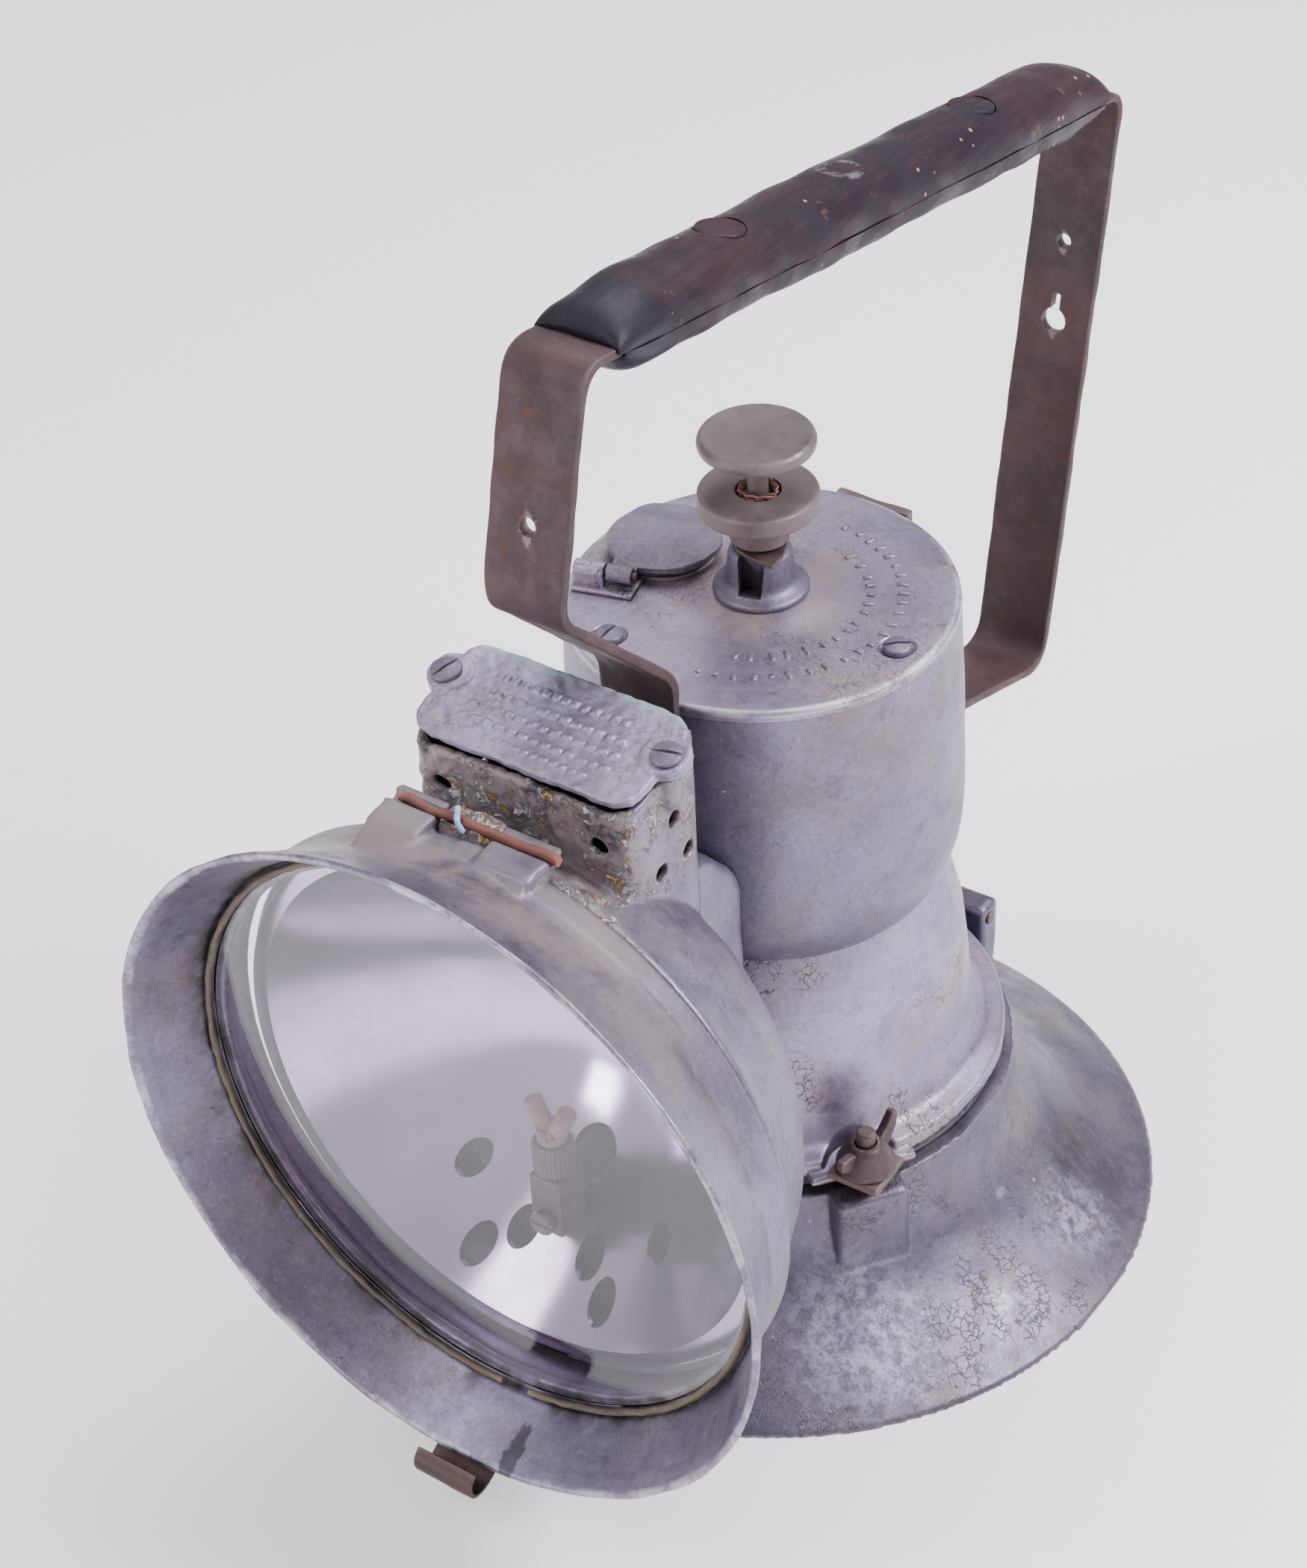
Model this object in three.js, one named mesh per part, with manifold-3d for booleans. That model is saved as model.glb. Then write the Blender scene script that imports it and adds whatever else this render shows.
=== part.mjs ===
// Carbide hand lamp: a water tank over a carbide generator on a bell-shaped base, with a hooded
// reflector in front, a chimney above it and a strap handle with a wooden grip.
// Millimetres, +Z up, with the reflector facing -Y. Shapes are drawn about the tank's axis, and
// "ahead" is the distance in front of it. The finished pieces are moved so that the origin lies on
// the ground under the middle of the whole lamp.
import * as THREE from 'three';
import { mergeVertices } from 'three/addons/utils/BufferGeometryUtils.js';
import Module from 'manifold-3d';

const wasm = await Module();
wasm.setup();

// ---- driving dimensions ----
const MIDDLE_Y = 3.698;      // the whole lamp's middle, behind the tank's axis
const GAP = 0.3;             // between pieces that rest on each other
const ROUND = 30;            // sides of the large round pieces
const SMALL = 12;            // sides of the small round pieces
const BASE_R = 122;          // foot of the bell-shaped base
const BASE_TOP = 56;         // top ring of the base
const FLANGE_R = 72.6;       // clamped flange of the generator
const FLANGE_Z = 60.6;       // underside of that flange
const NECK_Z = 131;          // narrowest place, between generator and tank
const TANK_R = 59;           // water tank
const TANK_TOP = 222.4;
const LID_R = 57.6;
const LID_TOP = 225.7;
const LAMP_Z = 130;          // height of the reflector's axis
const SEAM = 134.5;          // ahead: joint between the housing and the door
const DISH_VERTEX = 76;      // ahead: deepest point of the reflector
const DISH_CURVE = 0.0087;   // the reflector's depth is this times the radius squared
const DISH_R = 84;
const RIM_AHEAD = 172.8;     // ahead: front of the hood
const RIM_R = 109.7;
const GLASS_AHEAD = 149.3;   // ahead: back face of the glass
const GLASS_R = 93.4;
const DOOR_AXIS = { ahead: 131, z: 227.2 };
const EAR_TOP = 227.4;       // the hinge wire lies in open grooves across this level
const CHIMNEY = { half: 36, front: 118.5, back: 83, corner: 7, wall: 2.4 };
const COVER = { ahead: 117.7, z: 241.4, slope: 13, half: 37, depth: 34, thick: 3, screw: 36.4 };
const STRAP_W = 25.4;
const STRAP_T = 3;
const STRAP_LENGTH = 270;    // top run of the handle
const GRIP_SLOPE = -9.6;     // of that run
const CLAMP_ANGLE = 54;      // of each clamp, from straight ahead
const CLAMP_R = 77;
const MOUND = 2.6;           // rise of the lid towards the valve
const LUG_TOP = 58;
const PLATE_Z = 63.3;        // underside of a clamp plate
const HINGE_Y = 77.5;        // rear hinge between the base and the generator
const HINGE_Z = 61.5;
const PIPE_Z = 81.5;         // gas pipe and burner arm
const BURNER_AHEAD = 115;
const FILLER = { x: -36, y: 3, hole: 12.5, flap: 17.5 };
const FILLER_AXIS = { x: -37, y: -19.6, z: 231, turn: 15 };
const LATCH_AXIS = { ahead: 112, z: 39 };

const rad = THREE.MathUtils.degToRad;

// ---- materials ----
function finish(color, roughness, metalness) {
  return new THREE.MeshStandardMaterial({ color, roughness, metalness });
}
const ALUMINIUM = () => finish(0x948c98, 0.5, 0.85);
const DARK_ALUMINIUM = () => finish(0x7c747f, 0.6, 0.8);
const BRIGHT = () => finish(0xc3bccb, 0.18, 1);
const BRASS = () => finish(0x8a7560, 0.5, 0.9);
const COPPER = () => finish(0x7a5244, 0.5, 0.9);
const STEEL = () => finish(0x5f464a, 0.7, 0.7);
const RUST = () => finish(0x8a5038, 0.85, 0.4);
const WOOD = () => finish(0x3a2c33, 0.45, 0);
const SEALING = () => finish(0x4a4540, 0.9, 0);
const CERAMIC = () => finish(0xb09088, 0.8, 0);
const GLASS = () => new THREE.MeshStandardMaterial({
  color: 0xe8e8f0, roughness: 0.05, metalness: 0, transparent: true, opacity: 0.3,
});

// ---- shape tools ----
function outward(geometry) {
  const p = geometry.getAttribute('position');
  const index = geometry.index.array;
  let volume = 0;
  const [a, b, c] = [new THREE.Vector3(), new THREE.Vector3(), new THREE.Vector3()];
  for (let i = 0; i < index.length; i += 3) {
    a.fromBufferAttribute(p, index[i]);
    b.fromBufferAttribute(p, index[i + 1]);
    c.fromBufferAttribute(p, index[i + 2]);
    volume += a.dot(b.cross(c));
  }
  if (volume < 0) {
    for (let i = 0; i < index.length; i += 3) {
      [index[i + 1], index[i + 2]] = [index[i + 2], index[i + 1]];
    }
  }
  return geometry;
}

// A closed solid from any closed geometry.
function solid(geometry) {
  const bare = geometry.index ? geometry.clone() : geometry;
  bare.deleteAttribute('normal');
  bare.deleteAttribute('uv');
  const merged = outward(mergeVertices(bare, 1e-4));
  return new wasm.Manifold(new wasm.Mesh({
    numProp: 3,
    vertProperties: new Float32Array(merged.getAttribute('position').array),
    triVerts: new Uint32Array(merged.index.array),
  }));
}

function shell(body) {
  const mesh = body.getMesh();
  const geometry = new THREE.BufferGeometry();
  geometry.setAttribute('position', new THREE.BufferAttribute(new Float32Array(mesh.vertProperties), 3));
  geometry.setIndex(new THREE.BufferAttribute(new Uint32Array(mesh.triVerts), 1));
  return geometry;
}

const lamp = new THREE.Group();

function add(name, body, material) {
  const geometry = shell(body.translate([0, -MIDDLE_Y, 0]));
  geometry.computeVertexNormals();
  const mesh = new THREE.Mesh(geometry, material);
  mesh.name = name;
  lamp.add(mesh);
}

// A solid of revolution about Z. Its outline is [radius, height] pairs: a closed ring, or an
// outline from axis to axis.
function turned(outline, sides = ROUND) {
  const points = outline.map(([r, h]) => new THREE.Vector2(r, h));
  const onAxis = outline[0][0] === 0 && outline.at(-1)[0] === 0;
  if (!onAxis) {
    points.push(points[0].clone());
  }
  return solid(new THREE.LatheGeometry(points, sides).rotateX(Math.PI / 2));
}

// The same about the reflector's axis: its outline is [radius, ahead] pairs.
function turnedAhead(outline, sides = ROUND) {
  return turned(outline, sides).rotate([90, 0, 0]).translate([0, 0, LAMP_Z]);
}

function box(x0, x1, y0, y1, z0, z1) {
  const geometry = new THREE.BoxGeometry(x1 - x0, y1 - y0, z1 - z0);
  return solid(geometry.translate((x0 + x1) / 2, (y0 + y1) / 2, (z0 + z1) / 2));
}

function rod(radius, length, sides = SMALL) {
  return solid(new THREE.CylinderGeometry(radius, radius, length, sides).rotateX(Math.PI / 2));
}

// Round bars along each axis, from one end to the other.
const rodX = (r, x0, x1, y, z) => rod(r, x1 - x0).rotate([0, 90, 0]).translate([(x0 + x1) / 2, y, z]);
const rodY = (r, y0, y1, x, z) => rod(r, y1 - y0).rotate([90, 0, 0]).translate([x, (y0 + y1) / 2, z]);
const rodZ = (r, z0, z1, x, y) => rod(r, z1 - z0).translate([x, y, (z0 + z1) / 2]);

// A plate cut from an outline in the Y-Z plane, centred on X = 0.
function profileX(outline, width) {
  const shape = new THREE.Shape(outline.map(([y, z]) => new THREE.Vector2(y, z)));
  const geometry = new THREE.ExtrudeGeometry(shape, { depth: width, bevelEnabled: false });
  const axes = [[0, 1, 0], [0, 0, 1], [1, 0, 0]].map((v) => new THREE.Vector3(...v));
  geometry.applyMatrix4(new THREE.Matrix4().makeBasis(...axes));
  return solid(geometry.translate(-width / 2, 0, 0));
}

// A rounded rectangle standing on Z, from z0 to z1.
function roundedBlock(halfX, y0, y1, corner, z0, z1) {
  const shape = new THREE.Shape();
  const centres = [[halfX, y1, 0], [-halfX, y1, 90], [-halfX, y0, 180], [halfX, y0, 270]];
  for (const [x, y, start] of centres) {
    const cx = x - Math.sign(x) * corner;
    const cy = y === y1 ? y - corner : y + corner;
    shape.absarc(cx, cy, corner, rad(start), rad(start + 90), false);
  }
  const geometry = new THREE.ExtrudeGeometry(shape, {
    depth: z1 - z0, bevelEnabled: false, curveSegments: 5,
  });
  return solid(geometry.translate(0, 0, z0));
}

// Points along a line of straight runs with a round bend at each inner corner.
function bentLine(corners) {
  const points = [corners[0].at];
  for (let i = 1; i < corners.length - 1; i += 1) {
    const [before, here, after] = [corners[i - 1], corners[i], corners[i + 1]]
      .map((c) => new THREE.Vector2(...c.at));
    const back = before.clone().sub(here).normalize();
    const on = after.clone().sub(here).normalize();
    const half = Math.acos(THREE.MathUtils.clamp(back.dot(on), -1, 1)) / 2;
    const reach = corners[i].bend / Math.tan(half);
    const start = here.clone().addScaledVector(back, reach);
    const end = here.clone().addScaledVector(on, reach);
    const curve = new THREE.QuadraticBezierCurve(start, here, end);
    points.push(...curve.getPoints(5).map((p) => [p.x, p.y]));
  }
  points.push(corners.at(-1).at);
  return points;
}

// The outline of a strip of even thickness along such a line.
function stripOutline(line, thickness) {
  const sides = [[], []];
  line.forEach(([y, z], i) => {
    const before = line[Math.max(i - 1, 0)];
    const after = line[Math.min(i + 1, line.length - 1)];
    const along = new THREE.Vector2(after[0] - before[0], after[1] - before[1]).normalize();
    sides[0].push([y - along.y * thickness / 2, z + along.x * thickness / 2]);
    sides[1].push([y + along.y * thickness / 2, z - along.x * thickness / 2]);
  });
  return [...sides[0], ...sides[1].reverse()];
}

const toClamp = (body, side) => body.rotate([0, 0, side * CLAMP_ANGLE]);

// ---- base and generator ----
function baseShell() {
  let base = turned([
    [BASE_R, 0], [BASE_R, 1.2], [112, 7], [95, 18.4], [83, 31], [77.6, 44], [76, BASE_TOP],
    [64.6, BASE_TOP], [64.6, 53.4], [73.6, 53.4], [75, 43], [80.4, 29.6], [93, 16.2], [110, 5.2],
    [117, 0],
  ]);
  const underSkirt = turned([[0, -1], [116, -1], [110, 5.1], [93, 16.1], [80.3, 29.5], [74.9, 42.9],
    [73.5, 53.3], [0, 53.3]]);
  for (const side of [-1, 1]) {
    const lug = box(-11.5, 11.5, -84, -73, 20, LUG_TOP);
    base = base.add(toClamp(lug.subtract(underSkirt), side));
    base = base.subtract(toClamp(rodZ(3.45, 38, LUG_TOP + 1, 0, -CLAMP_R), side));
  }
  for (const x of [-25, 25]) {
    base = base.add(box(x - 8, x + 8, 73.3, 83, 30, 66).subtract(underSkirt));
  }
  return base.subtract(rodX(2.5, -40, 40, HINGE_Y, HINGE_Z));
}

function carbidePot() {
  return turned([
    [0, 8], [60, 8], [62, 10], [62, 56.3], [71, 56.3], [71, 57.8], [60.4, 57.8], [60.4, 9.6], [0, 9.6],
  ]);
}

function generatorBody() {
  let body = turned([
    [FLANGE_R, FLANGE_Z], [FLANGE_R, 65.8], [66.4, 66.8], [64.4, 70.4], [62, 73.8], [61, 94],
    [59, 110], [55.4, 123], [52.6, NECK_Z - GAP], [49.8, NECK_Z - GAP], [53, 121.6], [56.4, 109],
    [58.5, 93.6], [59.6, 76], [61, FLANGE_Z],
  ]);
  for (const side of [-1, 1]) {
    const tab = box(-17, 17, -75.6, -66, FLANGE_Z, 63).subtract(rodZ(3.9, 50, 70, 0, -CLAMP_R));
    body = body.add(toClamp(tab, side));
    const room = rodZ(13.2, 63, 80, 0, -CLAMP_R).add(rodZ(3.9, 50, 70, 0, -CLAMP_R));
    body = body.subtract(toClamp(room, side));
  }
  body = body.add(box(-16.6, 16.6, 64, 83, FLANGE_Z, 66)).add(box(-16.6, 16.6, 77, 83, 57, 66));
  body = body.subtract(rodX(2.5, -40, 40, HINGE_Y, HINGE_Z));
  return body.subtract(rodY(4.6, -70, -50, 0, PIPE_Z));
}

function clampStud(side) {
  return toClamp(rodZ(3.15, 38.4, 79.2, 0, -CLAMP_R).add(rodZ(2.5, 79, 80, 0, -CLAMP_R)), side);
}

function clampPlate(side) {
  const plate = box(-8.5, 8.5, -8.5, 8.5, PLATE_Z, PLATE_Z + 2.7).subtract(rodZ(3.6, 60, 70, 0, 0));
  return toClamp(plate.rotate([0, 0, 38]).translate([0, -CLAMP_R, 0]), side);
}

function wingNut(side) {
  const z = PLATE_Z + 2.7 + GAP;
  let nut = turned([
    [3.5, z], [9.3, z], [9.3, z + 1.6], [5.4, z + 8], [4.9, z + 9], [3.5, z + 9],
  ], SMALL);
  const wing = [[4.2, z + 3.4], [8, z + 2.4], [12, z + 9], [12.6, z + 14], [10.6, z + 15.2],
    [7.6, z + 11], [4.4, z + 7.6]];
  const bent = [[4.2, z + 3.4], [8, z + 2.4], [11.4, z + 4.4], [11.4, z + 8], [7.6, z + 8.4],
    [4.4, z + 7.6]];
  nut = nut.add(profileX(wing, 3)).add(profileX(bent, 3).rotate([0, 0, 180]));
  nut = nut.subtract(rodZ(3.5, z - 1, z + 20, 0, 0));
  return toClamp(nut.rotate([0, 0, -66]).translate([0, -CLAMP_R, 0]), side);
}

// ---- tank, lid, filler and valve ----
function waterTank() {
  return turned([
    [5, NECK_Z], [52.6, NECK_Z], [55.4, 136], [58.2, 146], [TANK_R + 0.2, 160], [58.8, 190],
    [57.9, TANK_TOP], [55.8, TANK_TOP], [57, 160], [55.8, 146], [52.4, 136], [50, 133], [5, 133],
  ]);
}

const screwAngles = [87, -33, 207];
const SCREW_R = 47.5;

function lidScrewPlace(angle) {
  return [SCREW_R * Math.sin(rad(angle)), -SCREW_R * Math.cos(rad(angle)), 0];
}

function tankLid() {
  let lid = turned([
    [6.5, TANK_TOP + GAP], [LID_R + 0.3, TANK_TOP + GAP], [LID_R + 0.3, LID_TOP - 1.6],
    [LID_R - 1.4, LID_TOP], [22, LID_TOP], [15, LID_TOP + MOUND], [6.5, LID_TOP + MOUND],
  ]);
  const seat = turned([[FILLER.hole, LID_TOP - 1], [15.4, LID_TOP - 1], [15.4, LID_TOP + 1.3],
    [FILLER.hole, LID_TOP + 1.3]], 24).translate([FILLER.x, FILLER.y, 0]);
  lid = lid.subtract(rodZ(FILLER.hole + 0.2, 200, 240, FILLER.x, FILLER.y)).add(seat);
  for (const angle of screwAngles) {
    const [x, y] = lidScrewPlace(angle);
    lid = lid.subtract(rodZ(2.5, 200, 240, x, y));
  }
  return lid;
}

function lidScrew(angle) {
  const z = LID_TOP + GAP;
  const screw = turned([
    [0, 214], [2.2, 214], [2.2, z], [4.4, z], [4.1, z + 1.2], [2.4, z + 1.9], [0, z + 2.1],
  ], SMALL);
  return screw.translate(lidScrewPlace(angle));
}

function valveBoss() {
  const z = LID_TOP + MOUND + GAP;
  const boss = turned([
    [3.6, z], [14, z], [14, z + 1.4], [10, z + 3.4], [9, 241.6], [8, 242.6], [4.6, 242.6],
    [4.6, 255.6], [3.6, 255.6],
  ], 24);
  return boss.subtract(box(5.2, 20, -3, 3, z + 4, 250).rotate([0, 0, -75]));
}

function glandNut() {
  return turned([
    [5, 245], [8.8, 246], [8.8, 253.6], [17.6, 256], [17.6, 261.2], [17, 261.8], [6.6, 261.8],
    [6.6, 257], [5, 256],
  ], 24);
}

function valveKnob() {
  return turned([
    [0, 146], [3, 156], [3, 276.4], [17.2, 276.4], [17.2, 279.4], [16, 280.2], [0, 280.5],
  ], 24);
}

function pointerPlate() {
  const shape = new THREE.Shape([[-6.6, -6], [6.6, -6], [7.6, 3], [4, 9], [-1, 14], [-5, 9], [-7.6, 3]]
    .map(([x, y]) => new THREE.Vector2(x, y)));
  const geometry = new THREE.ExtrudeGeometry(shape, { depth: 1.4, bevelEnabled: false });
  const plate = solid(geometry).translate([0, 0, 243.1]);
  return plate.subtract(rodZ(4.9, 230, 250, 0, 0)).rotate([0, 0, -135]);
}

function waterTube() {
  const top = TANK_TOP;
  return turned([[3.4, 112], [4.6, 112], [4.6, top], [3.4, top]], SMALL);
}

function gasFilter() {
  return turned([[12, 97], [36, 97], [36, 118], [30, 124], [12, 124]], 24);
}

const toFiller = (body) => body.rotate([0, 0, FILLER_AXIS.turn])
  .translate([FILLER_AXIS.x, FILLER_AXIS.y, FILLER_AXIS.z]);

function fillerBracket() {
  const bracket = box(-13, 6, -5, 5, LID_TOP + GAP - FILLER_AXIS.z, -3.6)
    .add(rodX(2.8, -13, -3.5, 0, 0)).add(box(-13, -3.5, -2.6, 2.6, -4, 0));
  return toFiller(bracket.subtract(rodX(1.5, -20, 20, 0, 0)));
}

function fillerFlap() {
  const r = FILLER.flap;
  const disc = turned([
    [0, 229.3], [r - 1.1, 229.3], [r, 230], [r, 231], [r - 0.9, 231.6], [0, 232.2],
  ], 24).translate([FILLER.x, FILLER.y, 0]);
  const knuckle = rodX(2.6, -3.1, 5, 0, 0).add(box(-3.1, 5, 0, 11, -1.4, 0.4))
    .subtract(rodX(1.5, -20, 20, 0, 0));
  return disc.add(toFiller(knuckle));
}

function fillerSeal() {
  return turned([[8, 227.4], [14.6, 227.4], [14.6, 229], [8, 229]], 24)
    .translate([FILLER.x, FILLER.y, 0]);
}

// ---- reflector housing, door and burner ----
function reflectorHousing() {
  const outside = turnedAhead([
    [0, 70], [28, 71.8], [50, 78.6], [68, 91], [82, 108], [88.6, 125], [92.4, 130],
    [92.4, SEAM - GAP], [0, SEAM - GAP],
  ]);
  const inside = turnedAhead([
    [0, 72.4], [27, 74.2], [48.4, 80.8], [66, 92.8], [79.6, 109.2], [86, 125.8], [89.8, 130.6],
    [89.8, SEAM + 1], [0, SEAM + 1],
  ]);
  const { half, front, back, corner, wall } = CHIMNEY;
  const flue = roundedBlock(half, -front, -back, corner, 150, 270);
  const flueInside = roundedBlock(half - wall, -front + wall, -back - wall, corner - wall, 150, 270);
  const saddle = roundedBlock(27, -86, -50, 8, 76, 200)
    .intersect(profileX([[-100, 76], [-50, 76], [-50, 166], [-57, 174], [-68, 186], [-100, 192]], 80));
  let housing = outside.add(flue).add(saddle.subtract(turnedTanks()));
  const top = box(-60, 60, -40, 60, 0, 60).rotate([COVER.slope, 0, 0])
    .translate([0, -COVER.ahead, COVER.z - COVER.thick - 2]);
  housing = housing.subtract(inside).subtract(flueInside).subtract(top);
  for (const [y, z] of [[-97, 223.5], [-91, 209], [-103.7, 209.5]]) {
    housing = housing.subtract(rodX(2.5, -50, 50, y, z));
  }
  for (const x of [-26, 26]) {
    housing = housing.subtract(rodY(2.6, -125, -110, x, 224.5));
  }
  for (const x of [-1, 1]) {
    const boss = turned([[0, 224], [4.6, 232], [4.6, 260], [0, 260]], 24).translate([x * 34.6, -98.6, 0]);
    housing = housing.add(boss.subtract(top));
    housing = housing.subtract(toCover(rodZ(2, -10, 10, x * COVER.screw, COVER.depth * 0.58)));
  }
  const lug = box(-15.8, 2, -133.8, -125, 219, EAR_TOP);
  housing = housing.add(lug).subtract(rodX(1.8, -60, 60, -DOOR_AXIS.ahead, DOOR_AXIS.z));
  const foot = box(-6, 6, -116, -107, 37, 50).subtract(inside);
  housing = housing.add(foot).subtract(rodX(1.9, -20, 20, -LATCH_AXIS.ahead, LATCH_AXIS.z));
  return housing.subtract(rodY(4.6, -90, -40, 0, PIPE_Z)).subtract(rodY(5.8, -92, -77.6, 0, PIPE_Z));
}

// Room that the tank, its neck and the generator take out of the housing's saddle.
function turnedTanks() {
  return turned([[0, 40], [62.8, 40], [62.8, 82], [60.4, 108], [57.4, 122], [56.4, 133],
    [59.2, 142], [60.2, 160], [60.2, 260], [0, 260]]);
}

const dishDepth = (r) => DISH_VERTEX + DISH_CURVE * r * r;

function reflectorDish() {
  const radii = [0, 20, 40, 56, 71, DISH_R];
  const front = radii.map((r) => [r, dishDepth(r)]);
  const back = radii.map((r) => [r, dishDepth(r) - 1.6]).reverse();
  const lip = DISH_R + 5.2;
  const rim = dishDepth(DISH_R);
  let dish = turnedAhead([...front, [lip, rim], [lip, rim - 2], [DISH_R + 2, rim - 2], ...back]);
  for (const [x, z] of [[33.5, 75.5], [22.5, 57.5], [12, 62.5]]) {
    for (const side of [-1, 1]) {
      dish = dish.subtract(rodY(4.7, -140, -70, side * x, z));
    }
  }
  return dish.subtract(rodY(7.5, -140, -70, 0, PIPE_Z));
}

function doorBezel() {
  let door = turnedAhead([
    [95, SEAM], [97, 147], [101, 157], [109, 171], [RIM_R, 172.4], [108.4, RIM_AHEAD],
    [99.4, 159], [95.8, 152.4], [95.8, 149], [90.4, 148.6], [90.4, 146], [93.2, 144], [92.9, SEAM],
  ]);
  for (const [x0, x1] of [[-33, -16.2], [2.4, 21]]) {
    const knuckle = rodX(4.5, x0, x1, -DOOR_AXIS.ahead, DOOR_AXIS.z);
    const arm = box(x0, x1, -146, -131, 222.8, EAR_TOP)
      .add(box(x0, x1, -146, -137, 214, 225));
    const room = turnedAhead([[0, 120], [94, 120], [94, 160], [0, 160]]);
    const above = box(-60, 60, -150, -120, EAR_TOP, 240);
    door = door.add(arm.subtract(room)).add(knuckle.subtract(above));
  }
  return door.subtract(rodX(1.8, -60, 60, -DOOR_AXIS.ahead, DOOR_AXIS.z));
}

function lensGlass() {
  const front = GLASS_AHEAD + 2;
  return turnedAhead([[0, GLASS_AHEAD], [GLASS_R, GLASS_AHEAD], [GLASS_R, front], [0, front + 0.4]]);
}

function lensRing() {
  const ahead = GLASS_AHEAD + 3.4;
  const open = rad(6);
  const start = rad(-90) + open / 2 + rad(5);
  const points = [];
  const steps = 40;
  for (let i = 0; i <= steps; i += 1) {
    const a = start + (2 * Math.PI - open) * i / steps;
    points.push(new THREE.Vector3(94 * Math.cos(a), -ahead, LAMP_Z + 94 * Math.sin(a)));
  }
  const section = new THREE.Shape().absarc(0, 0, 1, 0, 2 * Math.PI, false);
  const geometry = new THREE.ExtrudeGeometry(section, {
    steps, curveSegments: 3, bevelEnabled: false, extrudePath: new THREE.CatmullRomCurve3(points),
  });
  return solid(geometry);
}

function hingeWire() {
  return rodX(1.3, -30, 23, -DOOR_AXIS.ahead, DOOR_AXIS.z);
}

const toCover = (body) => body.rotate([COVER.slope, 0, 0])
  .translate([0, -COVER.ahead, COVER.z - COVER.thick]);

function chimneyCover() {
  const { half, depth, thick, screw } = COVER;
  let plate = roundedBlock(half, 0, depth, 8, 0, thick);
  for (const side of [-1, 1]) {
    plate = plate.add(rodZ(7, 0, thick + 0.8, side * (half - 1.4), depth * 0.6));
    plate = plate.subtract(rodZ(2.2, -5, 10, side * screw, depth * 0.58));
  }
  return toCover(plate);
}

function coverScrew(side) {
  const head = COVER.thick + 1.1;
  const screw = turned([[0, -8], [1.6, -8], [1.6, head], [4.6, head], [4.2, head + 1.3],
    [0, head + 1.7]], 12);
  return toCover(screw.translate([side * COVER.screw, COVER.depth * 0.58, 0]));
}

function gasPipe() {
  return rodY(4.2, -78, -52, 0, PIPE_Z).subtract(rodY(2.2, -79, -51, 0, PIPE_Z));
}

function burnerArm() {
  const end = box(-5.6, 5.6, -BURNER_AHEAD - 6, -BURNER_AHEAD + 6, 69.6, 91);
  return rodY(5.4, -BURNER_AHEAD, -78 - GAP, 0, PIPE_Z).add(end);
}

function burnerBody() {
  return turned([[2, 91.3], [5.4, 91.3], [6.4, 92.4], [6.4, 102], [5.4, 103], [2, 103]], 20)
    .translate([0, -BURNER_AHEAD, 0]);
}

function burnerTip() {
  let tip = rodZ(4.6, 103.3, 108, 0, -BURNER_AHEAD);
  for (const side of [-1, 1]) {
    const prong = rodZ(2.9, 0, 12, 0, 0).rotate([0, side * 24, 0]);
    tip = tip.add(prong.translate([side * 1.4, -BURNER_AHEAD, 105]));
  }
  return tip;
}

function armPlug() {
  return rodY(4, -BURNER_AHEAD - 9, -BURNER_AHEAD - 6.3, 0, 75.2);
}

function latchClip() {
  const line = bentLine([
    { at: [-108.6, 33.6] }, { at: [-136, 32], bend: 6 }, { at: [-152, 28.6], bend: 8 },
    { at: [-162.6, 22.8], bend: 8 }, { at: [-171.6, 16.6], bend: 1.6 }, { at: [-176.6, 14], bend: 1.6 },
    { at: [-180, 17.2], bend: 1.6 }, { at: [-178, 19.6] },
  ]);
  let clip = profileX(stripOutline(line, 1.2), 21).translate([1, 0, 0]);
  for (const [x0, x1] of [[-9.5, -6.4], [6.4, 11.5]]) {
    clip = clip.add(box(x0, x1, -114.6, -109.4, 33.2, 41.6));
  }
  return clip.subtract(rodX(1.9, -20, 20, -LATCH_AXIS.ahead, LATCH_AXIS.z));
}

// ---- handle ----
const gripStart = new THREE.Vector2(-79, 350.3);
const gripLine = (along, above) => {
  const a = rad(GRIP_SLOPE);
  return [gripStart.x + along * Math.cos(a) - above * Math.sin(a),
    gripStart.y + along * Math.sin(a) + above * Math.cos(a)];
};
function strapLine() {
  return bentLine([
    { at: [-61.2, 196] }, { at: [-61.2, 238], bend: 8 }, { at: [-108.8, 285.4], bend: 8 },
    { at: gripLine(-13.4, 0), bend: 8 }, { at: gripLine(STRAP_LENGTH, 0), bend: 7 },
    { at: [146.6, 112.6], bend: 10 }, { at: [61.4, 139.6], bend: 8 }, { at: [61.4, 222.6] },
  ]);
}

const plugAlong = [64, 196];
const rivets = [[-1, 203], [-1, 214], [1, 168], [1, 196]];

function handleStrap() {
  let strap = profileX(stripOutline(strapLine(), STRAP_T), STRAP_W);
  for (const [side, z] of rivets) {
    strap = strap.subtract(rodY(2.4, side * 61 - 4, side * 61 + 4, 0, z));
  }
  strap = strap.subtract(rodY(2.6, -115, -90, 0, 309));
  strap = strap.subtract(rodY(2.4, 160, 200, 0, 256)).subtract(rodY(4.2, 155, 195, 0, 230));
  for (const along of plugAlong) {
    const [y, z] = gripLine(along, 0);
    strap = strap.subtract(rodZ(3.2, -10, 10, 0, 0).rotate([GRIP_SLOPE, 0, 0]).translate([0, y, z]));
  }
  return strap;
}

function strapRivet(side, z) {
  const rivet = turned([[0, 0], [2, 0], [2, 3.9], [4.4, 3.9], [3.6, 5.6], [0, 6.2]], 12);
  const start = side * (TANK_R + 0.6);
  return rivet.rotate([side < 0 ? 90 : -90, 0, 0]).translate([0, start, z]);
}

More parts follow.
